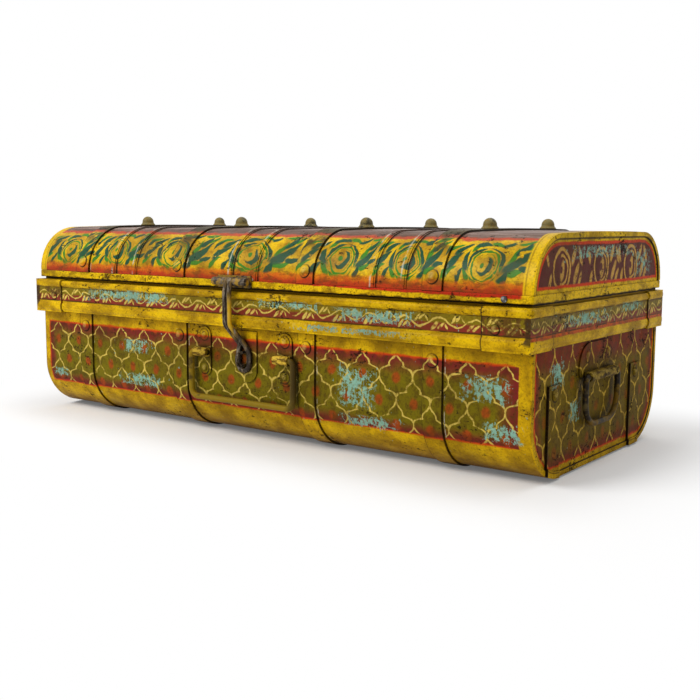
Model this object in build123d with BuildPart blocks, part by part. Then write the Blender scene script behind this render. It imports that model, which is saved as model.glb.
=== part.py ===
from build123d import *
import math
import os

os.makedirs("parts", exist_ok=True)

# Sheet-metal travel trunk. Millimetres, +Z up, front towards -Y. The origin lies on the ground
# under the middle of the trunk.

# --- Driving dimensions ----------------------------------------------------------------------

# Sheets and strips
sheet = 1.2                     # wall thickness of every folded sheet
strap_thickness = 2.0
strap_width = 22.0
plate_thickness = 1.5           # handle plates, hinge leaves and the staple plate
seam_width = 5.0                # folded seam round the end sheets
running_gap = 0.3               # between pieces that pass or rest on each other
pin_clearance = 0.05            # radial, round every pin and rivet

# Tray
rim_length = 700.0              # over the corner caps
rim_depth = 334.0
tray_height = 166.0             # ground to the top of the rim band
end_step = 5.0                  # rim outside to end sheet
front_step = 12.0               # rim outside to front and back walls
bottom_radius = 58.0            # long bottom edges of the bent sheet

# Rim band
rim_height = 38.5
top_bead_height = 7.5
bottom_bead_height = 12.5
bead_depth = 1.6                # how far the beads stand out from the flat of the band
rim_corner_radius = 5.0
cap_thickness = 1.2
cap_front_reach = 51.0          # corner cap, along the front and back
cap_end_reach = 46.0            # corner cap, along the ends
neck_rise = 8.0                 # neck above the rim
neck_hold = 19.0                # neck below the top of the rim

# Lid
lid_gap = 4.0                   # dark gap between rim and lid
lid_height = 64.0               # lid edge to the crown of its sheet
lid_end_step = 4.5              # rim outside to lid end sheet
lid_front_step = 8.5            # rim outside to lid front sheet
lid_crown = 3.0                 # rise of the top across the depth
shoulder_radius = 54.0
flange_height = 8.0
flange_thickness = 1.5
hem_width = 5.0
hem_end_gap = 12.0
rib_spacing = 36.0              # between the two ribs of a pair
rib_pair_shares = (-0.271, 0.0, 0.271)      # middle of each pair, as a share of the rim length
rib_steps = ((10.0, 0.7), (6.0, 1.4))       # width and height of a rib's two steps

# Straps: places as shares of the rim length, from the middle
strap_shares = (-0.376, -0.14, 0.126, 0.346)
end_strap_width = 26.0
end_strap_share = 0.3           # of the rim depth, each side of the end fittings' middle
end_strap_top = 92.0
end_fittings_place = -8.0       # the end fittings sit a little forward of the middle

# Rivets and studs
rivet_radius = 6.5
rivet_height = 2.2
cap_rivet_radius = 4.5
cap_rivet_height = 1.6
small_rivet_radius = 3.4
small_rivet_height = 1.6
shank_radius = 2.0
strap_rivet_drop = 16.0         # below the rim
lid_rivet_angle = 13.0          # degrees up the shoulder
end_strap_rivet_drop = 9.0      # below the top of the end strap
cap_rivet_inset = 37.0          # from the end of the rim
cap_rivet_lift = 6.5            # above the bottom bead
stud_radius = 9.0
stud_height = 11.0
stud_rows = (-53.0, 81.0)       # across the lid
stud_shift = 2.0                # of the studs from the middle of their strap
nail_radius = 3.0
nail_height = 1.5
nail_inset = 31.0

# Front bail handle
front_plate_width = 20.0
front_plate_height = 56.0
front_plate_place = 59.0        # each side of the middle
front_plate_drop = 3.5          # below the rim
front_barrel_radius = 5.0
front_bail_radius = 3.25
front_bail_reach = 5.5          # barrel end to the middle of the leg
front_bail_drop = 51.0
front_bail_corner = 9.0
front_rivet_offset = 19.0

# End bail handles
end_plate_width = 90.0
end_plate_height = 33.0
end_plate_top_corner = 24.0
end_plate_low_corner = 5.0
end_plate_drop = 2.5
end_barrel_length = 68.0
end_barrel_radius = 4.8
end_bail_radius = 3.0
end_bail_reach = 6.0
end_bail_drop = 48.0
end_bail_corner = 24.0
end_rivet_offset = 26.0
bail_hold = 17.0                # length of bail end inside its barrel

# Hasp, its hinge and the staple
hardware_proud = 9.0            # how far hasp and hinge barrels stand out from the rim
hasp_place = -8.0               # hasp hinge, from the middle
staple_place = 3.5
hasp_bar_radius = 2.7
hasp_strand_gap = 0.8
hasp_eye_radius = 4.8
hasp_pin_radius = 2.0
hasp_pin_height = 11.0          # above the rim
hasp_knuckle_radius = 4.5
hasp_knuckle_length = 17.8
hasp_plate_height = 13.0
hasp_pin_stand = 6.5            # pin in front of the hinge plate
loop_width = 15.0               # between the bar centres of the loop
loop_bottom = 79.9
loop_top = 101.0
throat_height = 109.0           # where the two strands part to form the loop
throat_shift = 2.5              # of the throat towards the hinge side
throat_bend = 6.0
hasp_bend_drop = 35.0           # below the rim top, where the bar turns inwards
staple_height = 93.0
staple_wire_radius = 1.6
staple_reach = 16.0
staple_span = 14.0              # between the wire centres of the legs
staple_plate_width = 32.0
staple_plate_height = 56.0
staple_plate_drop = 4.5

# Back hinges
hinge_place = 135.0
hinge_width = 44.0
hinge_radius = 5.0
hinge_pin_radius = 2.0
hinge_knuckle = 12.0            # length of an outer knuckle
hinge_rise = 2.0                # pin above the rim
body_leaf_height = 34.0
lid_leaf_height = 16.0
hinge_rivet_offset = 13.0

# --- Places worked out from them -------------------------------------------------------------

floor_height = strap_thickness
body_length = rim_length - 2 * end_step
body_depth = rim_depth - 2 * front_step
front_face = body_depth / 2
end_face = body_length / 2
rim_bottom = tray_height - rim_height
band_length = rim_length - 2 * cap_thickness
band_depth = rim_depth - 2 * cap_thickness
seam_top = rim_bottom - cap_thickness - running_gap
strap_top = rim_bottom - running_gap

neck_top = tray_height + neck_rise
lid_bottom = tray_height + lid_gap
lid_top = lid_bottom + lid_height
lid_length = rim_length - 2 * lid_end_step
lid_depth = rim_depth - 2 * lid_front_step
flange_top = lid_bottom + flange_height
lid_strap_bottom = flange_top + running_gap
flange_face = lid_depth / 2 + flange_thickness

strap_places = [share * rim_length for share in strap_shares]
rib_pair_places = [share * rim_length for share in rib_pair_shares]
end_strap_offset = end_strap_share * rim_depth

# Circle of the crown over the straps, and the shoulder circle that meets it
strap_side = lid_depth / 2 + strap_thickness
strap_crown_radius = (strap_side**2 + lid_crown**2) / (2 * lid_crown)
shoulder_y = lid_depth / 2 - shoulder_radius
shoulder_reach = strap_crown_radius - strap_thickness - shoulder_radius
shoulder_z = (
    lid_top + strap_thickness - strap_crown_radius + math.sqrt(shoulder_reach**2 - shoulder_y**2)
)


def save(piece, name):
    """Label a finished piece and write its STEP file."""
    piece.part.label = name
    export_step(piece.part, f"parts/{name}.step")


def front_plane(x, y, z):
    """Plane that faces the front, at depth y before the middle."""
    return Plane(origin=(x, -y, z), x_dir=(1, 0, 0), z_dir=(0, -1, 0))


def back_plane(x, y, z):
    """Plane that faces the back, at depth y behind the middle."""
    return Plane(origin=(x, y, z), x_dir=(-1, 0, 0), z_dir=(0, 1, 0))


def end_plane(x, y, z):
    """Plane that faces the right end for a positive x, the left end for a negative one."""
    side = math.copysign(1, x)
    return Plane(origin=(x, y, z), x_dir=(0, side, 0), z_dir=(side, 0, 0))


def tray_section(place, grow, top):
    """Section of the tray at x = place, its outside moved out by grow, up to height top."""
    with BuildSketch(Plane.YZ.offset(place)) as section:
        with Locations((0, floor_height - grow)):
            Rectangle(
                body_depth + 2 * grow,
                top - floor_height + grow,
                align=(Align.CENTER, Align.MIN),
            )
        fillet(section.vertices().group_by(Axis.Y)[0], bottom_radius + grow)
    return section.sketch


def lid_section(place, grow, bottom):
    """Section of the lid at x = place, its outside moved out by grow, down to height bottom."""
    side = lid_depth / 2 + grow
    edge = lid_top + grow - lid_crown
    with BuildSketch(Plane.YZ.offset(place)) as section:
        with BuildLine():
            Polyline((-side, edge), (-side, bottom), (side, bottom), (side, edge))
            ThreePointArc((side, edge), (0, lid_top + grow), (-side, edge))
        make_face()
        fillet(section.vertices().group_by(Axis.Y)[-1], shoulder_radius + grow)
    return section.sketch


def rectangle_block(length, depth, bottom, height, mode=Mode.ADD):
    """Upright block round the Z axis."""
    with BuildSketch(Plane.XY.offset(bottom)) as outline:
        Rectangle(length, depth)
    extrude(outline.sketch, amount=height, mode=mode)


def dome_middle(radius, base, top):
    """Middle point of a round dome's edge, from (radius, base) to (0, top)."""
    rise = top - base
    dome_radius = (radius**2 + rise**2) / (2 * rise)
    centre = top - dome_radius
    angle = math.atan2(radius, base - centre) / 2
    return (dome_radius * math.sin(angle), centre + dome_radius * math.cos(angle))


def save_rivets(name, planes, radius, height, grip):
    """Rivets set on the planes: a domed head outside and a shank of length grip."""
    edge = height * 0.2
    with BuildPart() as rivet:
        with BuildSketch(Plane.XZ):
            with BuildLine():
                Polyline((0, height), (0, 0), (radius, 0), (radius, edge))
                ThreePointArc((radius, edge), dome_middle(radius, edge, height), (0, height))
            make_face()
        revolve(axis=Axis.Z)
        Cylinder(shank_radius, grip, align=(Align.CENTER, Align.CENTER, Align.MAX))
    with BuildPart() as rivets:
        with Locations(*planes):
            add(rivet.part)
    save(rivets, name)


def drill(planes, radius, depth):
    """Round holes through what lies within depth of each plane."""
    with Locations(*planes):
        Cylinder(radius + pin_clearance, 2 * depth, mode=Mode.SUBTRACT)


def crown_plane(x, y):
    """Plane on top of a lid strap."""
    tilt = y / strap_crown_radius
    rise = math.sqrt(1 - tilt**2)
    z = lid_top + strap_thickness - strap_crown_radius * (1 - rise)
    return Plane(origin=(x, y, z), x_dir=(1, 0, 0), z_dir=(0, tilt, rise))


def shoulder_plane(x, side):
    """Plane on a lid strap, lid_rivet_angle up its shoulder, on side -1 front or 1 back."""
    angle = math.radians(lid_rivet_angle)
    reach = shoulder_radius + strap_thickness
    y = side * (shoulder_y + reach * math.cos(angle))
    z = shoulder_z + reach * math.sin(angle)
    outward = (0, side * math.cos(angle), math.sin(angle))
    return Plane(origin=(x, y, z), x_dir=(1, 0, 0), z_dir=outward)


# Rivet places: each is a plane on the outside of what the rivet holds
strap_rivet_z = rim_bottom - strap_rivet_drop
strap_rivet_planes = []
for strap_x in strap_places:
    strap_rivet_planes.append(front_plane(strap_x, front_face + strap_thickness, strap_rivet_z))
    strap_rivet_planes.append(back_plane(strap_x, front_face + strap_thickness, strap_rivet_z))

lid_rivet_planes = []
stud_planes = []
for strap_x in strap_places:
    for side in (-1, 1):
        lid_rivet_planes.append(shoulder_plane(strap_x, side))
    for row_y in stud_rows:
        stud_planes.append(crown_plane(strap_x + stud_shift, row_y))

end_strap_places = (end_fittings_place - end_strap_offset, end_fittings_place + end_strap_offset)
end_strap_rivet_z = end_strap_top - end_strap_rivet_drop
end_strap_rivet_planes = []
for strap_y in end_strap_places:
    for side in (-1, 1):
        outside = side * (end_face + strap_thickness)
        end_strap_rivet_planes.append(end_plane(outside, strap_y, end_strap_rivet_z))

cap_rivet_x = rim_length / 2 - cap_rivet_inset
cap_rivet_y = rim_depth / 2 - bead_depth
cap_rivet_z = rim_bottom + bottom_bead_height + cap_rivet_lift
cap_rivet_planes = []
for side in (-1, 1):
    cap_rivet_planes.append(front_plane(side * cap_rivet_x, cap_rivet_y, cap_rivet_z))
    cap_rivet_planes.append(back_plane(side * cap_rivet_x, cap_rivet_y, cap_rivet_z))

front_plate_z = rim_bottom - front_plate_drop - front_plate_height / 2
front_rivet_planes = []
for side in (-1, 1):
    for offset_z in (-front_rivet_offset, front_rivet_offset):
        front_rivet_planes.append(
            front_plane(
                side * front_plate_place,
                front_face + plate_thickness,
                front_plate_z + offset_z,
            )
        )

end_plate_top = rim_bottom - end_plate_drop
end_rivet_planes = []
for side in (-1, 1):
    for offset_y in (-end_rivet_offset, end_rivet_offset):
        end_rivet_planes.append(
            end_plane(
                side * (end_face + plate_thickness),
                end_fittings_place + offset_y,
                end_plate_top - end_plate_height / 3,
            )
        )

hinge_y = rim_depth / 2 + hardware_proud - hinge_radius
hinge_z = tray_height + hinge_rise
body_leaf_bottom = hinge_z - hinge_radius - running_gap - body_leaf_height
hinge_body_rivet_planes = []
hinge_lid_rivet_planes = []
for side in (-1, 1):
    for offset_x in (-hinge_rivet_offset, hinge_rivet_offset):
        rivet_x = side * hinge_place + offset_x
        hinge_body_rivet_planes.append(
            back_plane(rivet_x, band_depth / 2 + plate_thickness, cap_rivet_z)
        )
        hinge_lid_rivet_planes.append(
            back_plane(rivet_x, flange_face + plate_thickness, flange_top + lid_leaf_height / 4)
        )

nail_plane = front_plane(rim_length / 2 - nail_inset, flange_face, lid_bottom + flange_height / 2)
staple_legs = (staple_height - staple_span / 2, staple_height + staple_span / 2)
staple_leg_planes = [front_plane(staple_place, front_face, leg_z) for leg_z in staple_legs]

# --- Tray sheets -----------------------------------------------------------------------------

# Front wall, floor and back wall are one bent sheet
with BuildPart() as body_wrap:
    extrude(tray_section(-end_face, 0, tray_height), amount=body_length)
    extrude(tray_section(-end_face, -sheet, tray_height), amount=body_length, mode=Mode.SUBTRACT)
    drill(strap_rivet_planes, shank_radius, strap_thickness + 2 * sheet)
    drill(front_rivet_planes, shank_radius, plate_thickness + 2 * sheet)
    drill(staple_leg_planes, staple_wire_radius, 2 * sheet)
save(body_wrap, "body_wrap")

# End sheet inside the bent sheet, with the folded seam over its edge
with BuildPart() as end_panel_right:
    extrude(tray_section(end_face - sheet, -sheet, tray_height), amount=sheet)
    extrude(tray_section(end_face, 0, seam_top), amount=sheet)
    extrude(tray_section(end_face, -seam_width, seam_top), amount=sheet, mode=Mode.SUBTRACT)
    drill(end_rivet_planes, shank_radius, plate_thickness + 2 * sheet)
    drill(end_strap_rivet_planes, shank_radius, strap_thickness + 2 * sheet)
save(end_panel_right, "end_panel_right")

with BuildPart() as end_panel_left:
    mirror(end_panel_right.part, about=Plane.YZ)
save(end_panel_left, "end_panel_left")


def rim_block(grow):
    """Outside of the rim band as one block, moved out all round by grow."""
    flat_length = band_length - 2 * bead_depth + 2 * grow
    flat_depth = band_depth - 2 * bead_depth + 2 * grow
    beads = (
        (rim_bottom, bottom_bead_height),
        (tray_height - top_bead_height, top_bead_height),
    )
    rounded_beads = []
    for bottom, height in beads:
        with BuildPart() as bead:
            rectangle_block(
                band_length + 2 * grow, band_depth + 2 * grow, bottom - grow, height + 2 * grow
            )
            fillet(bead.edges().filter_by(Axis.Z), rim_corner_radius + grow)
            fillet(bead.faces().sort_by(Axis.Z)[-1].edges(), height * 0.42 + grow)
            fillet(bead.faces().sort_by(Axis.Z)[0].edges(), height * 0.42 + grow)
        rounded_beads.append(bead.part)
    with BuildPart() as block:
        rectangle_block(flat_length, flat_depth, rim_bottom - grow, rim_height + 2 * grow)
        add(rounded_beads)
    return block.part


rim_core = rim_block(0)
rim_skin = rim_block(cap_thickness)

# Hollow band round the mouth
with BuildPart() as rim_band:
    add(rim_core)
    rectangle_block(
        band_length - 2 * bead_depth - 2 * sheet,
        band_depth - 2 * bead_depth - 2 * sheet,
        rim_bottom + sheet,
        rim_height - 2 * sheet,
        mode=Mode.SUBTRACT,
    )
    rectangle_block(body_length, body_depth, rim_bottom, rim_height, mode=Mode.SUBTRACT)
    drill(cap_rivet_planes, shank_radius, cap_thickness + 2 * sheet)
    drill(hinge_body_rivet_planes, shank_radius, plate_thickness + bead_depth + 2 * sheet)
save(rim_band, "rim_band")

# Upstand inside the mouth
with BuildPart() as inner_neck:
    neck_height = neck_hold + neck_rise
    neck_bottom = tray_height - neck_hold
    rectangle_block(body_length - 2 * sheet, body_depth - 2 * sheet, neck_bottom, neck_height)
    rectangle_block(
        body_length - 4 * sheet,
        body_depth - 4 * sheet,
        neck_bottom,
        neck_height,
        mode=Mode.SUBTRACT,
    )
save(inner_neck, "inner_neck")

# Corner cap, formed over the band, and its three mirror images
with BuildPart() as corner_cap_front_right:
    add(rim_skin)
    add(rim_core, mode=Mode.SUBTRACT)
    rectangle_block(
        body_length,
        body_depth,
        rim_bottom - 2 * cap_thickness,
        rim_height + 4 * cap_thickness,
        mode=Mode.SUBTRACT,
    )
    with Locations((rim_length / 2, -rim_depth / 2, rim_bottom + rim_height / 2)):
        Box(2 * cap_front_reach, 2 * cap_end_reach, 2 * rim_height, mode=Mode.INTERSECT)
    drill(cap_rivet_planes, shank_radius, 2 * cap_thickness)
save(corner_cap_front_right, "corner_cap_front_right")

with BuildPart() as corner_cap_front_left:
    mirror(corner_cap_front_right.part, about=Plane.YZ)
save(corner_cap_front_left, "corner_cap_front_left")

with BuildPart() as corner_cap_back_right:
    mirror(corner_cap_front_right.part, about=Plane.XZ)
save(corner_cap_back_right, "corner_cap_back_right")

with BuildPart() as corner_cap_back_left:
    mirror(corner_cap_front_left.part, about=Plane.XZ)
save(corner_cap_back_left, "corner_cap_back_left")

save_rivets(
    "corner_rivets",
    cap_rivet_planes,
    cap_rivet_radius,
    cap_rivet_height,
    cap_thickness + sheet,
)

# --- Straps ----------------------------------------------------------------------------------

for number, strap_x in enumerate(strap_places, start=1):
    strap_left = strap_x - strap_width / 2
    strap_outside = tray_section(strap_left, strap_thickness, strap_top)
    strap_inside = tray_section(strap_left, 0, strap_top)
    with BuildPart() as body_strap:
        extrude(strap_outside, amount=strap_width)
        extrude(strap_inside, amount=strap_width, mode=Mode.SUBTRACT)
        drill(strap_rivet_planes, shank_radius, 2 * strap_thickness)
    save(body_strap, f"body_strap_{number}")

save_rivets(
    "body_strap_rivets",
    strap_rivet_planes,
    rivet_radius,
    rivet_height,
    strap_thickness + sheet,
)


# Short strap up each end, stepped over the folded seam at its foot
end_straps = {}
for name, strap_y in zip(("front", "back"), end_strap_places):
    with BuildPart() as end_strap:
        extrude(tray_section(end_face + sheet, 0, end_strap_top), amount=strap_thickness)
        step_inside = tray_section(end_face + sheet, -seam_width - strap_thickness, end_strap_top)
        extrude(step_inside, amount=strap_thickness, mode=Mode.SUBTRACT)
        extrude(tray_section(end_face, -seam_width, end_strap_top), amount=strap_thickness)
        with Locations((end_face, strap_y, end_strap_top / 2)):
            Box(4 * seam_width, end_strap_width, end_strap_top, mode=Mode.INTERSECT)
        drill(end_strap_rivet_planes, shank_radius, 2 * strap_thickness)
    save(end_strap, f"end_strap_{name}_right")
    end_straps[name] = end_strap.part

with BuildPart() as end_strap_front_left:
    mirror(end_straps["front"], about=Plane.YZ)
save(end_strap_front_left, "end_strap_front_left")

with BuildPart() as end_strap_back_left:
    mirror(end_straps["back"], about=Plane.YZ)
save(end_strap_back_left, "end_strap_back_left")

save_rivets(
    "end_strap_rivets",
    end_strap_rivet_planes,
    rivet_radius,
    rivet_height,
    strap_thickness + sheet,
)

# --- Front bail handle -----------------------------------------------------------------------

front_pivot_y = front_face + plate_thickness + front_barrel_radius
front_pivot_z = front_plate_z

with BuildPart() as front_handle_plate_right:
    with BuildSketch(front_plane(front_plate_place, front_face, front_plate_z)):
        RectangleRounded(front_plate_width, front_plate_height, front_plate_width * 0.49)
    extrude(amount=plate_thickness)
    with Locations((front_plate_place, -front_pivot_y, front_pivot_z)):
        Cylinder(front_barrel_radius, front_plate_width, rotation=(0, 90, 0))
        Box(
            front_plate_width,
            front_barrel_radius + plate_thickness / 2,
            front_barrel_radius,
            align=(Align.CENTER, Align.MIN, Align.CENTER),
        )
        Cylinder(
            front_bail_radius + pin_clearance,
            2 * front_plate_width,
            rotation=(0, 90, 0),
            mode=Mode.SUBTRACT,
        )
    drill(front_rivet_planes, shank_radius, 2 * plate_thickness)
save(front_handle_plate_right, "front_handle_plate_right")

with BuildPart() as front_handle_plate_left:
    mirror(front_handle_plate_right.part, about=Plane.YZ)
save(front_handle_plate_left, "front_handle_plate_left")

save_rivets(
    "front_handle_rivets",
    front_rivet_planes,
    small_rivet_radius,
    small_rivet_height,
    plate_thickness + sheet,
)

# Round bar: both ends sit in the barrels, the legs hang outside them
with BuildPart() as front_handle:
    front_barrel_end = front_plate_place + front_plate_width / 2
    front_leg_x = front_barrel_end + front_bail_reach
    front_tip_x = front_barrel_end - bail_hold
    front_elbow = front_bail_reach - running_gap
    with BuildLine() as front_path:
        FilletPolyline(
            (-front_tip_x, -front_pivot_y, front_pivot_z),
            (-front_leg_x, -front_pivot_y, front_pivot_z),
            (-front_leg_x, -front_pivot_y, front_pivot_z - front_bail_drop),
            (front_leg_x, -front_pivot_y, front_pivot_z - front_bail_drop),
            (front_leg_x, -front_pivot_y, front_pivot_z),
            (front_tip_x, -front_pivot_y, front_pivot_z),
            radius=(front_elbow, front_bail_corner, front_bail_corner, front_elbow),
        )
    with BuildSketch(Plane(origin=front_path.line @ 0, z_dir=front_path.line % 0)):
        Circle(front_bail_radius)
    sweep()
save(front_handle, "front_handle")

# --- End bail handles ------------------------------------------------------------------------

end_pivot_x = end_face + plate_thickness + end_barrel_radius
end_pivot_z = end_plate_top - end_plate_height

with BuildPart() as end_handle_plate_right:
    plate_middle = end_plate_top - end_plate_height / 2
    with BuildSketch(end_plane(end_face, end_fittings_place, plate_middle)) as outline:
        Rectangle(end_plate_width, end_plate_height)
        fillet(outline.vertices().group_by(Axis.Y)[-1], end_plate_top_corner)
        fillet(outline.vertices().group_by(Axis.Y)[0], end_plate_low_corner)
    extrude(amount=plate_thickness)
    with Locations((end_pivot_x, end_fittings_place, end_pivot_z)):
        Cylinder(end_barrel_radius, end_barrel_length, rotation=(90, 0, 0))
        Box(
            end_barrel_radius + plate_thickness,
            end_barrel_length,
            end_barrel_radius,
            align=(Align.MAX, Align.CENTER, Align.MIN),
        )
        Cylinder(
            end_bail_radius + pin_clearance,
            2 * end_barrel_length,
            rotation=(90, 0, 0),
            mode=Mode.SUBTRACT,
        )
    drill(end_rivet_planes, shank_radius, 2 * plate_thickness)
save(end_handle_plate_right, "end_handle_plate_right")

with BuildPart() as end_handle_plate_left:
    mirror(end_handle_plate_right.part, about=Plane.YZ)
save(end_handle_plate_left, "end_handle_plate_left")

save_rivets(
    "end_handle_rivets",
    end_rivet_planes,
    small_rivet_radius,
    small_rivet_height,
    plate_thickness + sheet,
)

with BuildPart() as end_handle_right:
    end_leg = end_barrel_length / 2 + end_bail_reach
    end_tip = end_barrel_length / 2 - bail_hold
    end_elbow = end_bail_reach - running_gap
    with BuildLine() as end_path:
        FilletPolyline(
            (end_pivot_x, end_fittings_place - end_tip, end_pivot_z),
            (end_pivot_x, end_fittings_place - end_leg, end_pivot_z),
            (end_pivot_x, end_fittings_place - end_leg, end_pivot_z - end_bail_drop),
            (end_pivot_x, end_fittings_place + end_leg, end_pivot_z - end_bail_drop),
            (end_pivot_x, end_fittings_place + end_leg, end_pivot_z),
            (end_pivot_x, end_fittings_place + end_tip, end_pivot_z),
            radius=(end_elbow, end_bail_corner, end_bail_corner, end_elbow),
        )
    with BuildSketch(Plane(origin=end_path.line @ 0, z_dir=end_path.line % 0)):
        Circle(end_bail_radius)
    sweep()
save(end_handle_right, "end_handle_right")

with BuildPart() as end_handle_left:
    mirror(end_handle_right.part, about=Plane.YZ)
save(end_handle_left, "end_handle_left")

# --- Staple ----------------------------------------------------------------------------------

with BuildPart() as staple_plate:
    plate_z = rim_bottom - staple_plate_drop - staple_plate_height / 2
    with BuildSketch(front_plane(staple_place, front_face, plate_z)) as outline:
        Rectangle(staple_plate_width, staple_plate_height)
        fillet(outline.vertices().group_by(Axis.Y)[0], staple_plate_width * 0.45)
    extrude(amount=plate_thickness)
    drill(staple_leg_planes, staple_wire_radius, 2 * plate_thickness)
save(staple_plate, "staple_plate")

# Wire eye: both legs go through the plate and the front wall
with BuildPart() as staple:
    staple_root = -front_face + sheet
    staple_tip = -front_face - plate_thickness - staple_reach + staple_wire_radius
    with BuildLine() as staple_path:
        FilletPolyline(
            (staple_place, staple_root, staple_legs[0]),
            (staple_place, staple_tip, staple_legs[0]),
            (staple_place, staple_tip, staple_legs[1]),
            (staple_place, staple_root, staple_legs[1]),
            radius=staple_span * 0.4,
        )
    with BuildSketch(Plane(origin=staple_path.line @ 0, z_dir=staple_path.line % 0)):
        Circle(staple_wire_radius)
    sweep()
save(staple, "staple")

# --- Lid -------------------------------------------------------------------------------------

# Bent sheet with pressed ribs in pairs
with BuildPart() as lid_wrap:
    extrude(lid_section(-lid_length / 2, 0, lid_bottom), amount=lid_length)
    for pair_x in rib_pair_places:
        for rib_x in (pair_x - rib_spacing / 2, pair_x + rib_spacing / 2):
            for rib_width, rib_height in rib_steps:
                rib = lid_section(rib_x - rib_width / 2, rib_height, lid_strap_bottom)
                extrude(rib, amount=rib_width)
    extrude(lid_section(-lid_length / 2, -sheet, lid_bottom), amount=lid_length, mode=Mode.SUBTRACT)
    drill(lid_rivet_planes, shank_radius, strap_thickness + 2 * sheet)
    drill(stud_planes, shank_radius, strap_thickness + 2 * sheet)
    drill(
        hinge_lid_rivet_planes,
        shank_radius,
        plate_thickness + flange_thickness + 2 * sheet,
    )
    drill([nail_plane], nail_radius / 2, flange_thickness + 2 * sheet)
save(lid_wrap, "lid_wrap")

# End sheet with its folded seam outside and a hem inside that rests on the neck
with BuildPart() as lid_end_right:
    lid_end_face = lid_length / 2
    extrude(lid_section(lid_end_face - sheet, -sheet, lid_bottom), amount=sheet)
    extrude(lid_section(lid_end_face, 0, lid_strap_bottom), amount=flange_thickness)
    seam_inside = lid_section(lid_end_face, -seam_width, lid_strap_bottom)
    extrude(seam_inside, amount=flange_thickness, mode=Mode.SUBTRACT)
    with Locations((lid_end_face - sheet, 0, neck_top + running_gap)):
        Box(
            hem_width,
            lid_depth - 2 * hem_end_gap,
            sheet,
            align=(Align.MAX, Align.CENTER, Align.MIN),
        )
save(lid_end_right, "lid_end_right")

with BuildPart() as lid_end_left:
    mirror(lid_end_right.part, about=Plane.YZ)
save(lid_end_left, "lid_end_left")

# Strip round the lid's bottom edge
with BuildPart() as lid_flange:
    rectangle_block(
        lid_length + 2 * flange_thickness,
        lid_depth + 2 * flange_thickness,
        lid_bottom,
        flange_height,
    )
    fillet(lid_flange.edges().filter_by(Axis.Z), 2 * flange_thickness)
    fillet(lid_flange.faces().sort_by(Axis.Z)[-1].edges(), flange_thickness * 0.6)
    fillet(lid_flange.faces().sort_by(Axis.Z)[0].edges(), flange_thickness * 0.6)
    rectangle_block(lid_length, lid_depth, lid_bottom, flange_height, mode=Mode.SUBTRACT)
    drill([nail_plane], nail_radius / 2, 2 * flange_thickness)
save(lid_flange, "lid_flange")

for number, strap_x in enumerate(strap_places, start=1):
    strap_left = strap_x - strap_width / 2
    strap_outside = lid_section(strap_left, strap_thickness, lid_strap_bottom)
    strap_inside = lid_section(strap_left, 0, lid_strap_bottom)
    with BuildPart() as lid_strap:
        extrude(strap_outside, amount=strap_width)
        extrude(strap_inside, amount=strap_width, mode=Mode.SUBTRACT)
        drill(lid_rivet_planes, shank_radius, 2 * strap_thickness)
        drill(stud_planes, shank_radius, 2 * strap_thickness)
    save(lid_strap, f"lid_strap_{number}")

save_rivets(
    "lid_strap_rivets",
    lid_rivet_planes,
    rivet_radius,
    rivet_height,
    strap_thickness + sheet,
)

# One stud: a flared foot under a conical dome
with BuildPart() as stud:
    waist_radius = stud_radius * 0.8
    waist_height = stud_height * 0.32
    with BuildSketch(Plane.XZ):
        with BuildLine():
            Polyline((0, stud_height), (0, 0), (stud_radius, 0), (stud_radius, stud_height * 0.08))
            ThreePointArc(
                (stud_radius, stud_height * 0.08),
                (stud_radius * 0.88, stud_height * 0.17),
                (waist_radius, waist_height),
            )
            ThreePointArc(
                (waist_radius, waist_height),
                dome_middle(waist_radius, waist_height, stud_height),
                (0, stud_height),
            )
        make_face()
    revolve(axis=Axis.Z)
    Cylinder(
        shank_radius,
        strap_thickness + sheet,
        align=(Align.CENTER, Align.CENTER, Align.MAX),
    )

with BuildPart() as lid_studs:
    with Locations(*stud_planes):
        add(stud.part)
save(lid_studs, "lid_studs")

with BuildPart() as lid_nail:
    with Locations(nail_plane):
        Cylinder(nail_radius, nail_height, align=(Align.CENTER, Align.CENTER, Align.MIN))
        Cylinder(
            nail_radius / 2,
            flange_thickness + sheet,
            align=(Align.CENTER, Align.CENTER, Align.MAX),
        )
save(lid_nail, "lid_nail")

# --- Hasp ------------------------------------------------------------------------------------

hasp_pin_y = -(flange_face + plate_thickness + hasp_pin_stand)
hasp_pin_z = tray_height + hasp_pin_height
hasp_eye_length = 4 * hasp_bar_radius + hasp_strand_gap
knuckle_middle = hasp_eye_length / 2 + running_gap + hasp_knuckle_length / 2
hinge_plate_bottom = lid_bottom + running_gap

with BuildPart() as hasp_hinge:
    hinge_plate_length = hasp_eye_length + 2 * running_gap + 2 * hasp_knuckle_length
    with Locations((hasp_place, -flange_face, hinge_plate_bottom)):
        Box(
            hinge_plate_length,
            plate_thickness,
            hasp_plate_height,
            align=(Align.CENTER, Align.MAX, Align.MIN),
        )
    for side in (-1, 1):
        with Locations((hasp_place + side * knuckle_middle, hasp_pin_y, hasp_pin_z)):
            Cylinder(hasp_knuckle_radius, hasp_knuckle_length, rotation=(0, 90, 0))
            Box(
                hasp_knuckle_length,
                hasp_pin_stand + plate_thickness,
                hasp_knuckle_radius,
                align=(Align.CENTER, Align.MIN, Align.MIN),
            )
            Cylinder(
                hasp_pin_radius + pin_clearance,
                2 * hasp_knuckle_length,
                rotation=(0, 90, 0),
                mode=Mode.SUBTRACT,
            )
save(hasp_hinge, "hasp_hinge")

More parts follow.
